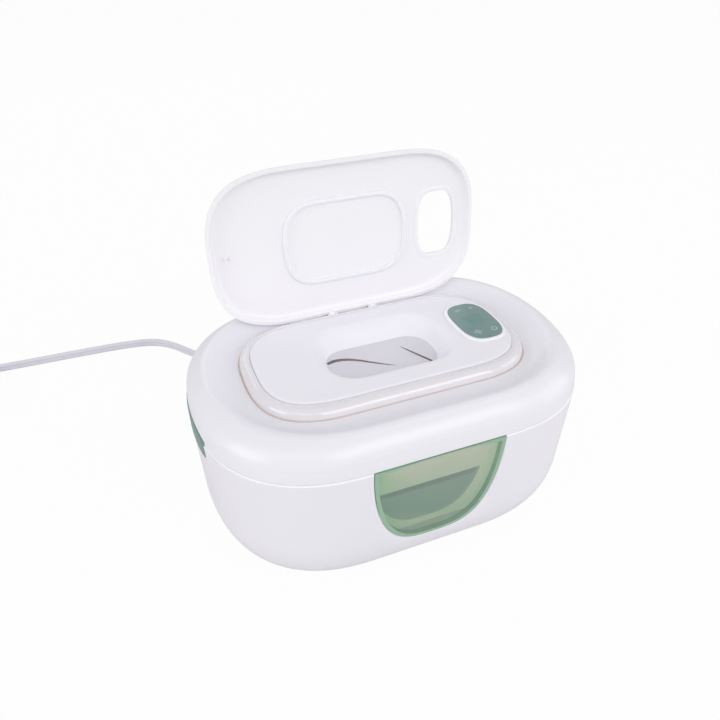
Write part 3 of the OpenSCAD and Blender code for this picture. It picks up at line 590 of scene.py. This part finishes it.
def tie():
    """Strap round the bundle."""
    outer = np.array(rounded([(30.2, 0.1), (45.6, 0.1), (45.6, 17), (30.2, 17)], [1.6] * 4, True))
    inner = np.array(rounded([(31, 0.9), (44.8, 0.9), (44.8, 16.2), (31, 16.2)], [1.2] * 4, True))
    rings = [np.c_[p[:, 0], np.full(len(p), y), p[:, 1]]
             for p, y in ((outer, 4), (outer, -4), (inner, -4), (inner, 4))]
    turn = Matrix.Rotation(math.radians(135), 4, "Z")
    return moved(skin(rings, loop=True), turn, (*COIL_C, 0))


tie_piece = piece("cord_strap", tie(), TIE, "base", ["cord_tie"])


# ---- housing ------------------------------------------------------------------------------------

HINGE_X, HINGE_R = 124.3, 3.2
BASE_KNUCKLES = ((-22, -13.5), (-4, 4), (13.5, 22))
COVER_KNUCKLES = ((-13.2, -4.3), (4.3, 13.2))
TANK_Z = SEAM - 6
APERTURE_TOP = 33  # top edge of the tank's viewing slot below the seam
LATCH_X, LATCH_Z = -120.0, SEAM - 4


def edge_profile(t, w=0.0):
    """Offset and height on the rounded bottom edge at angle t, w inside the surface."""
    t = math.radians(t)
    return (TAPER * EDGE_DOWN + w + EDGE_IN * (1 - math.cos(t)),
            SEAM - EDGE_DOWN - (EDGE_H - w) * math.sin(t))


def latch_face(g):
    """Outline of the latch across y and z, grown by g."""
    top = [(i / 12 * (27.5 + g), 4 + g - 2.4 * (i / 12) ** 2) for i in range(-12, 13)]
    side = [(27.5 + g, 0), (26.6 + g, -1.2), (26.2 + g, -9)]
    turn = [(23.2 + (3 + g) * math.cos(a), -9 - (3 + g) * math.sin(a))
            for a in np.radians(np.arange(10, 91, 10))]
    half = side + turn
    return np.array(top + half + [(-y, z) for y, z in half[::-1]])


def latch_block(g, x0, x1):
    p = latch_face(g)
    return skin([np.c_[np.full(len(p), x), p[:, 0], p[:, 1] + SEAM] for x in (x0, x1)])


def dee(g, n=72):
    t = np.linspace(0, math.pi, n + 1)
    return np.c_[(41.3 - g) * np.sign(np.cos(t)) * np.abs(np.cos(t)) ** (2 / 3),
                 -(66 - g) * np.maximum(np.sin(t), 0) ** (2 / 2.2)]


def window_cut(g, where):
    """Outline of the window opening grown by g, past the housing's rim, with y from where(x, z)."""
    p = dee(-g)
    p = np.vstack([[p[0, 0], 1.2], p, [p[-1, 0], 1.2]])
    z = p[:, 1] + SEAM - 0.4
    return np.c_[p[:, 0], where(p[:, 0], z), z]


def wall_point(x, z, o):
    """y of the front wall at x and z, o inside its surface."""
    z = np.asarray(z, float)
    t = np.degrees(np.arcsin(np.clip((SEAM - EDGE_DOWN - z) / EDGE_H, 0, 1)))
    low = TAPER * EDGE_DOWN + EDGE_IN * (1 - np.cos(np.radians(t)))
    off = np.where(z > SEAM - EDGE_DOWN, TAPER * (SEAM - z), low) + o
    f, e = FLAT - off / 2, SHIFT + off / 2
    cx, cy = HALF_X - off - f, HALF_Y - off + e
    r = np.clip((np.abs(x) - f) / cx, 0, 1)
    return -(cy * (1 - r ** POWER) ** (1 / POWER) - e)


def housing():
    foot = rounded([(22.1, 3.9), (21.9, 1.5), edge_profile(86)], [0, 0.3, 0])[1:-1]
    outer = [(30, 3.9), (22.1, 3.9)] + foot
    curve = [edge_profile(t) for t in range(84, 0, -3)] + [edge_profile(0)]
    wall = [(TAPER * (SEAM - z), z) for z in (44, 50, 58, 66, 74, 82, 88, 91)]
    rim = rounded([(0.1, 91), (-0.05, SEAM - 0.2), (2.6, SEAM - 0.2), (2.8, TANK_Z), (5.6, TANK_Z),
                   (5.6, TANK_Z - 1.6), (3, TANK_Z - 4.6)], [0, 1.3, 0.3, 0, 0.2, 0.2, 0])[1:]
    inner = [edge_profile(t, 2.6) for t in range(0, 71, 7)] + [(30, 6.1)]
    profile = [tuple(v) for v in outer + curve + wall + rim + inner]
    obj = mesh_object("housing_shell", skin(stack(body, profile), loop=True))
    tidy_normals(obj)
    boolean(obj, skin([window_cut(0, lambda x, z, y=y: np.full(len(x), y)) for y in (-95.0, -73.2)]))
    boolean(obj, skin([window_cut(g, lambda x, z, o=o: wall_point(x, z, o))
                       for g, o in ((0.75, -1), (0.7, -0.02), (0.3, 0.16), (0.02, 0.6), (0.01, 2))]))
    boolean(obj, latch_block(0.4, -130, -117.6))
    for k in COVER_KNUCKLES:
        boolean(obj, rod("y", (HINGE_X, SEAM), HINGE_R + 0.5, k[0] - 0.25, k[1] + 0.25, 64, 0.01))
    boolean(obj, rod("y", CORD_EXIT, 5, 70, 90, 64, 0.01))
    extra = [rod("y", (HINGE_X, SEAM), HINGE_R, *k, 56, 0.25) for k in BASE_KNUCKLES]
    low, top = SEAM - 14, TANK_Z - 0.4
    extra += [block((-117.6, -30, low), (-116.2, 30, top)),
              end_plate(-122.4, -116.2, low - 1.2, low, 1.2)]
    extra += [block((-120.6, y - 0.8, low), (-116.2, y + 0.8, top)) for y in (-29.2, 29.2)]
    for y in (-15.5, -6.5, 6.5, 15.5):
        extra += [block((-120.4, y - 0.9, SEAM - 14.5), (-116.6, y + 0.9, top)),
                  block((-121.2, y - 0.9, LATCH_Z - 4), (-118.6, y + 0.9, LATCH_Z)),
                  rod("y", (LATCH_X, LATCH_Z), 1.8, y - 0.9, y + 0.9, 32, 0.1)]
    join_part(obj, merged(*extra))
    collar = mesh_object("collar", rod("y", CORD_EXIT, 8, 78, 83.5, 56, 0.35))
    boolean(collar, rod("y", CORD_EXIT, 5, 70, 90, 64, 0.01))
    absorb(obj, collar)
    finished(obj, WHITE, "base", ["lower_housing"], 30)
    # The housing's outer faces just below the seam take the painted highlight.
    obj.data.materials.append(EDGE)
    for f in obj.data.polygons:
        x, y, z = f.center / MM
        if z > SEAM - 1.05 and x < 118 and np.hypot(x * 0.68, y) > 82:
            f.material_index = 1


housing()


def window_shape(g0, g1, o0, o1, n=120):
    """Part of the window between two shrunk outlines, or within one where g1 is None."""
    def topped(p):
        """An outline with points along its straight top."""
        x = np.linspace(p[-1, 0], p[0, 0], n // 2)[1:-1]
        return np.vstack([p, np.c_[x, np.zeros(n // 2 - 2)]])
    edge = topped(dee(g0, n))
    middle = np.array([0.0, -26.0])
    if g1 is None:
        inner = [middle + (edge - middle) * s for s in (0.999, 0.8, 0.6, 0.4, 0.2, 0.02)]
    else:
        inner = [topped(dee(g1, n))]
        thin = 0.35 + (g1 - 0.35) * np.clip((np.abs(inner[0][:, 0]) - 12) / 26, 0, 1)
        inner[0][:, 1] = np.minimum(inner[0][:, 1], -thin)
    rings = [edge, *inner]

    def lay(p, o):
        z = p[:, 1] + SEAM - 0.4
        return np.c_[p[:, 0], wall_point(p[:, 0], z, o), z]
    front = [lay(p, o0) for p in rings]
    back = [lay(p, o1) for p in rings[::-1]]
    return skin(front + back, loop=g1 is not None)


pane = piece("window_pane", window_shape(0.35, None, 0.1, 2.1), WINDOW, "base",
             ["front_window"], 50)
spots = np.array([v.co for v in pane.data.vertices]) / MM
curve = dee(0, 200) + [0, SEAM - 0.4]
near = np.linalg.norm(spots[:, None, [0, 2]] - curve[None], axis=2).min(1)
front = spots[:, 1] < wall_point(spots[:, 0], spots[:, 2], 1)
for name, values in (("rim", np.clip(1.25 - near / 9, 0, 1)), ("outer", front)):
    layer = pane.data.attributes.new(name, "FLOAT", "POINT")
    layer.data.foreach_set("value", values.astype(np.float32))
piece("window_border", window_shape(0.2, 2.7, 0.06, 3.2), WINDOW_RIM, "base", (), 50)


# ---- tank ---------------------------------------------------------------------------------------

def tank():
    def low(t, w):
        t = math.radians(t)
        return (14 + w + (6 - w) * (1 - math.cos(t)), 27 - (6 - w) * math.sin(t))
    outer = [low(t, 0) for t in range(90, -1, -9)] + [(12.8, 80), (12.6, TANK_Z - 0.01)]
    flange = rounded([(12.6, TANK_Z), (3.4, TANK_Z), (3.4, TANK_Z + 2), (14.6, TANK_Z + 2), (14.8, 80)],
                     [0.3, 0.5, 0.5, 0.8, 0])
    inner = [(15.6, 50)] + [low(t, 2) for t in range(0, 91, 9)]
    obj = mesh_object("wipe_tank", skin(stack(body, [*outer, *flange[1:], *inner])))
    tidy_normals(obj)
    boolean(obj, block((-126, -31, TANK_Z - 1), (-117.3, 31, TANK_Z + 3), 0.5))
    boolean(obj, block((119.5, -24, TANK_Z - 1), (126, 24, TANK_Z + 3), 0.5))
    p, top = dee(3), 0.4 - APERTURE_TOP
    low = p[p[:, 1] < top]
    side = np.interp(-top, -p[:37, 1], p[:37, 0])
    p = np.vstack([[side, top], low, [-side, top]])
    slot = skin([np.c_[p[:, 0], np.full(len(p), y), p[:, 1] + SEAM - 0.4] for y in (-80, -60)])
    boolean(obj, slot)
    finished(obj, TANK, "base", ["inner_tank"], 30)
    # Faces inside the tank, its floor and its downward faces get the greyer inside copy: painted shade
    # with a faint painted glow.
    obj.data.materials.append(TANK_IN)
    for f in obj.data.polygons:
        x, y, z = f.center / MM
        inward = f.normal.x * x + f.normal.y * y < -5
        if z < TANK_Z - 1 and (inward or f.normal.z > 0.4 or f.normal.z < -0.4 and z > 34):
            f.material_index = 1


tank()
piece("tank_gasket", band(body(8), body(11), TANK_Z + 2, SEAM + 0.7, 0.7), SEAL, "base",
      ["tank_seal"])


# ---- latch --------------------------------------------------------------------------------------

def latch():
    rows = [(-11.5, 23.2, 0, 0.5), (-11.4, 23.8, 0, 0.25), (-11.1, 24.4, 0, 0.08), (-10.3, 25.3, 0, 0.03),
            (-9, 25.8, 0, 0.03), (-6, 26.05, 0, 0.02), (-3, 26.35, 0, 0.01), (-0.4, 26.6, 0, 0),
            (-0.1, 26.9, 0, 0), (0, 27.5, 0, 0), (1, 27.5, 0.4, 0.1), (2.4, 27.5, 1.4, 0.28),
            (3.4, 27.4, 2.2, 0.46), (3.8, 27.2, 2.35, 0.6), (4, 26.8, 2.4, 0.9)]
    s = np.linspace(-1, 1, 41)
    rings = []
    for z, w, drop, o in rows:
        lift = SEAM + z - drop * s ** 2
        y = w * s
        shy = 0.4 * np.clip((np.abs(s) - 0.96) / 0.04, 0, 1) ** 2
        front = np.c_[end_x(y, o + shy), y, lift][::-1]
        back = np.c_[end_x(y, o + 1.7), y, lift]
        rings.append(np.vstack([front, back]))
    v, f = skin(rings, caps=False)
    n, k = len(rings[0]), len(rings)
    for base, flip in ((0, True), ((k - 1) * n, False)):
        for j in range(n // 2 - 1):
            q = [base + j, base + j + 1, base + n - 2 - j, base + n - 1 - j]
            f.append(q[::-1] if flip else q)
    parts = [(v, f)]
    for sign in (-1, 1):
        parts.append(rod("y", (LATCH_X, LATCH_Z), 1.8, sign * 11 - 3, sign * 11 + 3, 32, 0.15))
        parts.append(block((-123.6, sign * 11 - 3, LATCH_Z - 1.4),
                           (LATCH_X, sign * 11 + 3, LATCH_Z + 1.4)))
    parts.append(block((-123.4, -7, SEAM + 1.6), (-120.9, 7, SEAM + 3)))
    parts.append(rod("x", (0, SEAM - 9.1), 2.4, -124, -122.95))
    return merged(*parts)


piece("side_latch", latch(), LATCH, "latch", ["release_latch"], 40)


# ---- cover --------------------------------------------------------------------------------------

LID_AXIS = (52.0, SEAM + 17.4)
LID_RIM = SEAM + 19.4
LID_Y, LID_OPEN, LID_ARM_X, LID_ARM_R = 0.3, 94.75, 15.0, 1.5


def lid_pose(part):
    """A part drawn on the shut lid, with z from its rim, where the open lid has it."""
    v, f = moved(part, by=(0, LID_Y - LID_AXIS[0], LID_RIM - LID_AXIS[1]))
    turn = Matrix.Rotation(-math.radians(LID_OPEN), 4, "X")
    return moved((v, f), turn, (0, *LID_AXIS))


# How much the cover's wall narrows for each mm up, its height, and the crest's reach and height
COVER_TAPER, COVER_WALL, CREST_IN, CREST_H = 0.15, 7.5, 26.3, 17.6


def cover_rings():
    def up(t, w=0.0):
        t = math.radians(t)
        return (COVER_TAPER * COVER_WALL + w + (CREST_IN - w) * (1 - math.cos(t)),
                SEAM + COVER_WALL + (CREST_H - w) * math.sin(t))
    foot = rounded([(2.6, SEAM + 1.5), (2.6, SEAM + 0.25), (0.4, SEAM + 0.25), (0.75, SEAM + 3)],
                   [0, 0.3, 0.3, 0])[1:]
    wall = [(COVER_TAPER * h, SEAM + h) for h in (5, 6.4)]
    rings = stack(body, foot + wall + [up(t) for t in np.arange(0, 49, 3)])
    top = stack(body, [(10.3, 20.95), (11.3, 21.42), (12.4, 21.75), (13.2, 21.8), (14, 21.62),
                       (15, 21.2), (16, 20.6)], SEAM)
    slope = stack(dish, [(0.17, 18.9), (0.33, 17.35), (0.5, 16.1), (0.66, 15.3), (0.8, 14.95),
                         (0.92, 14.9), (1, 14.9)], SEAM)
    rings += smooth([rings[-1], *top, *slope], 4)[1:]
    rings += stack(ring, [(0.9, 13.4), (-5, 13.4), (-5, 11.4), (2, 11.4)], SEAM)
    rings += stack(dish, [(0.5, 13.4), (0, 17.8)], SEAM) + stack(body, [(12.6, 19)], SEAM)
    return rings + stack(body, [up(t, 2.6) for t in np.arange(52, -1, -6.5)] + [(2.6, SEAM + 1.5)])


def cover():
    obj = mesh_object("cover_shell", skin(cover_rings(), loop=True))
    tidy_normals(obj)
    boolean(obj, latch_block(0.4, -130, -119.2))
    for k in BASE_KNUCKLES:
        boolean(obj, rod("y", (HINGE_X, SEAM), HINGE_R + 0.5, k[0] - 0.25, k[1] + 0.25, 64, 0.01))
    extra = [rod("y", (HINGE_X, SEAM), HINGE_R, *k, 56, 0.25) for k in COVER_KNUCKLES]
    z = SEAM
    extra += [block((-119.2, -30, z + 0.4), (-118, 30, z + 6.4)),
              end_plate(-123, -118, z + 5.2, z + 6.4, 1.8),
              block((-120.4, -8, z + 0.6), (-119.1, 8, z + 1.2))]
    extra += [block((-120.4, y - 0.8, z + 0.4), (-118, y + 0.8, z + 6.4)) for y in (-29.2, 29.2)]
    for s in (-1, 1):
        for d in (-1, 1):
            x = s * LID_ARM_X + d * 2.9
            extra += [rod("x", LID_AXIS, LID_ARM_R + 0.1, x - 0.6, x + 0.6, 40, 0.2),
                      block((x - 0.6, LID_AXIS[0] - 0.5, z + 12.6),
                            (x + 0.6, LID_AXIS[0] + 1.5, LID_AXIS[1]))]
    join_part(obj, merged(*extra))
    finished(obj, COVER, "cover", ["upper_cover"], 30)


cover()


def light_ring():
    top = smooth([(0, 15.9), (0.05, 17.3), (0.17, 18.9), (0.37, 20.1), (0.62, 20.7), (0.9, 20.66)], 6)
    rest = [(0.96, 20.55), (0.985, 20.35), (0.99, 20.1), (0.99, 18.4), (0.6, 18.5), (0.38, 17.7),
            (0.24, 16), (0.22, 13.5)]
    return skin(stack(lambda s: mix(ring(0), deck(0), s), [(0, 13.5), *top, *rest], SEAM), loop=True)


piece("light_ring_smooth", light_ring(), RING, "cover", ["light_ring"], 40)
line = [(0.85, 13.5), (0.85, 14.9), (0.7, 15), (0.4, 15.08), (0.05, 15.05), (0.05, 13.5)]
piece("ring_gasket_line", skin(stack(ring, line, SEAM), loop=True), GASKET, "cover",
      ["ring_gasket"], 50)

DECK_Z = SEAM + 21.8
PANEL_X = 66.6


def deck_plate():
    z = DECK_Z
    edge = rounded([(-0.2, -2.4), (0, -1.6), (0, 0), (-4, 0)], [0, 0, 0.9, 0])[:-1]
    rings = stack(deck, edge, z)
    rings += [at(mix(deck(-4), mouth(12, 3.4), s), z) for s in (0, 0.5, 1)]
    funnel = [(10.4, 2.8, -0.02), (9.2, 2.5, -0.1), (8.1, 2.5, -0.32), (7.2, 2.55, -0.75),
              (6.3, 2.6, -1.35), (4.9, 2.2, -2.9), (2.9, 1.05, -6.6), (1.2, 0.35, -10.2),
              (0.3, 0.1, -11.6), (0, 0, -12)]
    under = [(2, 0, -12), (3.1, 0.4, -10), (5, 1.2, -5.8), (7.2, 2.4, -2.4)]
    rings += smooth([at(mouth(g, h), z + d) for g, h, d in funnel], 4)
    rings += [at(mouth(g, h), z + d) for g, h, d in under]
    obj = mesh_object("deck_plate", skin(rings, loop=True))
    tidy_normals(obj)
    boolean(obj, moved(prism(panel(-1.2), z - 4, z + 2), by=(PANEL_X, 0, 0)))
    finished(obj, DECK, "cover", ["top_deck"], 30)


deck_plate()


def bezel():
    rows = rounded([(-1.3, -2.8), (-1.3, 0.02), (2.25, 0.02), (2, 1.4), (0.1, 1.4), (0.1, 0.4),
                    (-2.5, 0.4), (-2.5, -2.8)], [0, 0, 0.2, 0.9, 0.25, 0, 0, 0])
    return moved(skin(stack(panel, rows, DECK_Z), loop=True), by=(PANEL_X, 0, 0))


piece("panel_frame", bezel(), BEZEL, "cover", ["panel_bezel"], 40)
GLASS_Z = DECK_Z + 1.6
face = [(0, DECK_Z + 0.42), (0, GLASS_Z - 0.35), (-0.12, GLASS_Z - 0.1), (-0.4, GLASS_Z)]
piece("panel_face", moved(skin(stack(panel, face)), by=(PANEL_X, 0, 0)), PANEL, "cover",
      ["panel_glass"])


def stroke(points, w, closed=False):
    """Flat line of width w along points, on the panel's face."""
    p = np.array(points, float)
    if closed:
        d = np.roll(p, -1, 0) - np.roll(p, 1, 0)
    else:
        d = np.gradient(p, axis=0)
    nor = np.c_[-d[:, 1], d[:, 0]] / np.linalg.norm(d, axis=1)[:, None] * w / 2
    lo, hi = GLASS_Z - 0.05, GLASS_Z + 0.04
    rings = [np.array([[*(q + s), lo], [*(q - s), lo], [*(q - s), hi], [*(q + s), hi]])
             for q, s in zip(p, nor)]
    return skin(rings, loop=closed)


def icons():
    """Generic key symbols: power, light, warmth and timer."""
    out = []

    def add(shape, cx, cy):
        out.append(moved(shape, by=(PANEL_X + cx, cy, 0)))
    arc = [(1.9 * math.sin(a), 1.9 * math.cos(a)) for a in np.radians(np.linspace(40, 320, 30))]
    add(stroke(arc, 0.42), 6.9, -13.6)
    add(stroke([(0, 0.9), (0, 1.6), (0, 2.3)], 0.42), 6.9, -13.6)
    for k in range(8):
        a = math.pi * k / 4
        c, s = math.cos(a), math.sin(a)
        add(stroke([(r * c, r * s) for r in (0.7, 1.6, 2.5 if k % 2 else 3)], 0.3), -5.0, -13.6)
    for y in (-0.7, 0.7):
        wave = [(t, y + 0.3 * math.sin(2 * t)) for t in np.linspace(-1.8, 1.8, 14)]
        add(stroke(wave, 0.26), -4.6, 14.8)
    add(stroke([(-1.4, -0.4), (0, 1.1), (1.4, -0.4)], 0.3), 5.4, 14.8)
    add(stroke([(0, 0.9), (0, -0.4), (0, -1.5)], 0.3), 5.4, 14.8)
    return merged(*out)


piece("panel_icons", icons(), ICON, "cover")
screen = np.array(rounded([(6.4, -4.6), (6.4, 6.6), (-6.4, 6.6), (-6.4, -4.6)], [1.2] * 4, True))
piece("panel_screen", moved(prism(screen, GLASS_Z - 0.05, GLASS_Z + 0.02), by=(PANEL_X, 0, 0)),
      SCREEN, "cover")


# ---- wipe opening -------------------------------------------------------------------------------

FLAP_Z = SEAM + 8.6
# Points of the two slits, and half their widths there
SLIT_LEFT = [(-35, 7.6), (-31, 8.9), (-27, 9), (-22, 7.8), (-15, 4.2), (-8, -1), (-1, -6), (5, -10)]
LEFT_W = [1.1, 1.15, 0.95, 0.7, 0.42, 0.28, 0.2, 0.16]
SLIT_RIGHT = [(16.5, 8.5), (19.5, 3), (23, -3.8), (26.4, -10.2), (29.3, -15.6)]
RIGHT_W = [0.16, 0.24, 0.38, 0.62, 0.8]


def slit_curve(points, widths):
    return np.array(smooth([(*p, w) for p, w in zip(points, widths)], 8))


def slit_tool(rows):
    p, w = rows[:, :2], rows[:, 2:]
    d = np.gradient(p, axis=0)
    nor = np.c_[-d[:, 1], d[:, 0]] / np.linalg.norm(d, axis=1)[:, None]
    outline = np.vstack([p + nor * w, (p - nor * w)[::-1]])[::-1]
    return prism(outline, FLAP_Z - 2, FLAP_Z + 4)


def flap():
    obj = mesh_object("wipe_flap", plate_grid())
    tidy_normals(obj)
    curves = [slit_curve(SLIT_LEFT, LEFT_W), slit_curve(SLIT_RIGHT, RIGHT_W)]
    boolean(obj, prism(mouth(5, 0.6), FLAP_Z - 3, FLAP_Z + 5), "INTERSECT")
    for rows in curves:
        boolean(obj, slit_tool(rows))
    co = places(obj)
    for rows, lift in zip(curves, (0.9, 0.7)):
        p = rows[:, :2]
        d = np.gradient(p, axis=0)
        gap = co[:, None, :2] - p[None]
        far = np.linalg.norm(gap, axis=2)
        k = far.argmin(1)
        to = gap[np.arange(len(k)), k]
        side = np.sign(d[k, 0] * to[:, 1] - d[k, 1] * to[:, 0])
        along = k / (len(p) - 1)
        fade = np.sin(math.pi * np.clip(along * 1.02 - 0.01, 0, 1)) ** 0.7
        co[:, 2] += side * lift * 0.5 * fade * np.exp(-(far.min(1) / 4.5) ** 2)
    put(obj, co)
    finished(obj, FLAP, "cover", ["flap_seal"], 40)
    # The slit walls get painted shade, a brownish grey.
    obj.data.materials.append(SLIT)
    for f in obj.data.polygons:
        if abs(f.normal.z) < 0.5:
            f.material_index = 1


def plate_grid():
    """A plate of fine squares, for the flap."""
    xs, ys = np.linspace(-46, 46, 139), np.linspace(-27, 27, 82)
    gx, gy = np.meshgrid(xs, ys, indexing="ij")
    n, m = gx.shape
    top = np.c_[gx.ravel(), gy.ravel(), np.full(n * m, FLAP_Z + 1.2)]
    low = np.c_[gx.ravel(), gy.ravel(), np.full(n * m, FLAP_Z)]
    faces = []
    for i in range(n - 1):
        for j in range(m - 1):
            a, b, c, d = i * m + j, (i + 1) * m + j, (i + 1) * m + j + 1, i * m + j + 1
            faces += [[a, b, c, d], [n * m + d, n * m + c, n * m + b, n * m + a]]
    rim = [i * m for i in range(n)] + [(n - 1) * m + j for j in range(1, m)]
    rim += [i * m + m - 1 for i in range(n - 2, -1, -1)] + [j for j in range(m - 2, 0, -1)]
    for a, b in zip(rim, rim[1:] + rim[:1]):
        faces.append([b, a, n * m + a, n * m + b])
    return np.vstack([top, low]), faces


flap()
piece("flap_clamp", band(mouth(5, 0.6), mouth(1, 0.8), FLAP_Z - 2.6, FLAP_Z - 0.05, 0.2), WHITE,
      "cover", ["flap_retainer"])


# ---- flip lid -----------------------------------------------------------------------------------

LID_IN, LID_TOP = 4.4, 6.4  # faces of the shut lid above its rim
CUT_AT = (PANEL_X, 1 - LID_Y, 0)
RIB_Y, RIB_IN = 0.6, 1.0


def flip_lid():
    inside = [(-26, LID_IN), (-13, LID_IN), (-8.4, 4.36), (-6.4, 4.2), (-5, 3.8), (-4, 3.1),
              (-3.4, 2.2), (-3.1, 1.4), (-3, 0.9)]
    rim = rounded([(-3, 0.9), (-2.8, 0), (0, 0), (-0.02, 0.9)], [0, 0.5, 0.5, 0])[1:-1]
    outside = [(-0.02, 0.9), (-0.1, 1.7), (-0.35, 2.7), (-0.9, 3.8), (-1.9, 4.8), (-3.6, 5.6),
               (-6.4, 6.1), (-11, 6.32), (-17, 6.39), (-23, LID_TOP)]
    rows = [*smooth(inside, 3), *rim, *smooth(outside, 3)]
    obj = mesh_object("flip_lid_shell", skin(stack(lid, rows)))
    tidy_normals(obj)
    boolean(obj, moved(prism(lid_cut(0), 2, 10), by=CUT_AT))
    border = [(3.1, 4.5), (3.0, 4.3), (2.6, 4.05), (2.1, 3.98), (0.5, 3.98), (0.12, 4.12),
              (0.02, 4.5), (0.02, 6.2), (0.35, 6.5), (1.5, 6.35)]
    lip = moved(skin(stack(lid_cut, border[::-1]), loop=True), by=CUT_AT)
    bead = [(0.6, 4.5), (0.6, 3.7), (0.4, 3.5), (-0.4, 3.5), (-0.6, 3.7), (-0.6, 4.5)]
    oval = moved(skin(stack(lambda g: rib(g - RIB_IN), bead[::-1]), loop=True), by=(0, RIB_Y, 0))
    parts = [lip, oval]
    y, z = LID_AXIS[0] - LID_Y, LID_AXIS[1] - LID_RIM
    for s in (-1, 1):
        x = s * LID_ARM_X
        parts += [rod("x", (y, z), LID_ARM_R + 0.2, x - 2.15, x + 2.15, 44, 0.3),
                  block((x - 2.15, y - 1.6, z), (x + 2.15, y + 0.6, 1.5), 0.5)]
    parts += [rod("z", spot, 1.6, LID_IN - 0.15, LID_IN + 0.3, 28, 0.1)
              for spot in ((-30, -21), (-35, 14))]
    join_part(obj, merged(*parts))
    put(obj, lid_pose((places(obj), []))[0])
    finished(obj, LID, "lid", ["flip_lid"], 30)


flip_lid()


def seal():
    """Soft oval bead with a groove that sits on the lid's rib."""
    rows = [(1.5, 1.6), (1.48, 0.9), (1.3, 0.4), (0.9, 0.1), (0.4, 0), (-0.4, 0), (-0.9, 0.1),
            (-1.3, 0.4), (-1.48, 0.9), (-1.5, 1.6), (-0.65, 1.6), (-0.65, 0.7), (0.65, 0.7), (0.65, 1.6)]
    rings = stack(lambda g: rib(g - RIB_IN) + [0, RIB_Y], rows[::-1], LID_IN - 1.65)
    return lid_pose(skin(rings, loop=True))


piece("lid_seal_ring", seal(), SEAL, "lid", ["lid_seal"], 45)
pegs = [lid_pose(rod("z", (x, 0.8), 1.1, LID_IN - 1.65, 5.2, 28, 0.3)) for x in (-82.2, -78.6)]
piece("lid_bumper_pegs", merged(*pegs), SEAL, "lid", ["lid_bumpers"], 45)


# ---- carried-over CAD nodes ---------------------------------------------------------------------

PAINT = {
    "heating_plate": PLATE, "heater_film": FILM, "insulation_pad": FOAM, "thermistor": PARTS,
    "thermal_fuse": PARTS, "base_plate": WHITE, "rubber_feet": FEET, "base_screws": STEEL,
    "power_board": BOARD, "board_parts": PARTS, "board_screws": STEEL, "inner_wiring": CORD,
    "contact_pins": BRASS, "latch_pin": STEEL, "latch_spring": STEEL, "main_hinge_pin": STEEL,
    "plug_blades": STEEL, "touch_board": BOARD, "led_board": BOARD, "led_chips": LEDS,
    "inner_cover": WHITE, "cover_screws": STEEL, "contact_pads": BRASS, "lid_hinge_pins": STEEL,
}
for name, paint in PAINT.items():
    shown = nodes[name]
    for slot in shown.material_slots:
        slot.material = paint
    if not shown.material_slots:
        shown.data.materials.append(paint)
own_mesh(nodes["latch_spring"])


# ---- floor, light and background ----------------------------------------------------------------

def direct_rays(nt):
    """1 for camera and transmission rays, to which the background is white, and 0 for others."""
    rays = nt.nodes.new("ShaderNodeLightPath")
    seen = nt.nodes.new("ShaderNodeMath")
    seen.operation = "MAXIMUM"
    nt.links.new(rays.outputs["Is Camera Ray"], seen.inputs[0])
    nt.links.new(rays.outputs["Is Transmission Ray"], seen.inputs[1])
    return seen.outputs[0]


def add_floor():
    mesh = bpy.data.meshes.new("floor")
    r = 6.0  # half its side, in metres
    mesh.from_pydata([(-r, -r, 0), (r, -r, 0), (r, r, 0), (-r, r, 0)], [], [(0, 1, 2, 3)])
    floor = bpy.data.objects.new("floor", mesh)
    bpy.context.scene.collection.objects.link(floor)
    m = bpy.data.materials.new("floor_white")
    m.use_nodes = True
    nt = m.node_tree
    shader = nt.nodes["Principled BSDF"]
    fill(shader, {"Base Color": (0.8, 0.8, 0.8, 1), "Roughness": 0.9, "Specular IOR Level": 0.1})
    glow = add_node(nt, "Emission", {"Strength": 1.0})
    share = nt.nodes.new("ShaderNodeMath")
    share.operation = "MULTIPLY"
    share.inputs[1].default_value = 0.96  # the rest shows the object's shadow
    nt.links.new(direct_rays(nt), share.inputs[0])
    both = nt.nodes.new("ShaderNodeMixShader")
    nt.links.new(share.outputs[0], both.inputs["Fac"])
    nt.links.new(shader.outputs["BSDF"], both.inputs[1])
    nt.links.new(glow.outputs["Emission"], both.inputs[2])
    nt.links.new(both.outputs["Shader"], nt.nodes["Material Output"].inputs["Surface"])
    mesh.materials.append(m)


def add_world():
    world = bpy.data.worlds.new("studio")
    bpy.context.scene.world = world
    world.use_nodes = True
    nt = world.node_tree
    dim = nt.nodes["Background"]
    fill(dim, {"Color": (0.985, 0.98, 1.0, 1), "Strength": 0.6})
    white = add_node(nt, "Background", {"Color": (1, 1, 1, 1), "Strength": 1.0})
    both = nt.nodes.new("ShaderNodeMixShader")
    nt.links.new(direct_rays(nt), both.inputs["Fac"])
    nt.links.new(dim.outputs["Background"], both.inputs[1])
    nt.links.new(white.outputs["Background"], both.inputs[2])
    nt.links.new(both.outputs["Shader"], nt.nodes["World Output"].inputs["Surface"])


def add_area(name, place, size, power):
    """A rectangular lamp that points at the object."""
    data = bpy.data.lights.new(name, "AREA")
    data.shape = "RECTANGLE"
    data.size, data.size_y = size
    data.energy = power
    lamp = bpy.data.objects.new(name, data)
    bpy.context.scene.collection.objects.link(lamp)
    lamp.location = place
    aim = Vector((0, 0, 0.1)) - Vector(place)
    lamp.rotation_euler = aim.to_track_quat("-Z", "Y").to_euler()


add_floor()
add_world()
add_area("key", (0.45, -1.35, 1.05), (1.3, 0.9), 7.8)
add_area("left", (-1.6, -0.3, 0.6), (1.0, 1.0), 6.5)
add_area("left_high", (-1.2, -0.5, 1.2), (1.0, 0.8), 1.1)
add_area("right", (1.5, -0.5, 0.6), (1.0, 1.0), 3.9)
add_area("back", (0, 1.5, 0.9), (1.4, 0.8), 2.7)
add_area("strip", (-0.62, -0.83, 1.2), (0.5, 0.16), 0.5)
bpy.context.scene.view_settings.view_transform = "Standard"
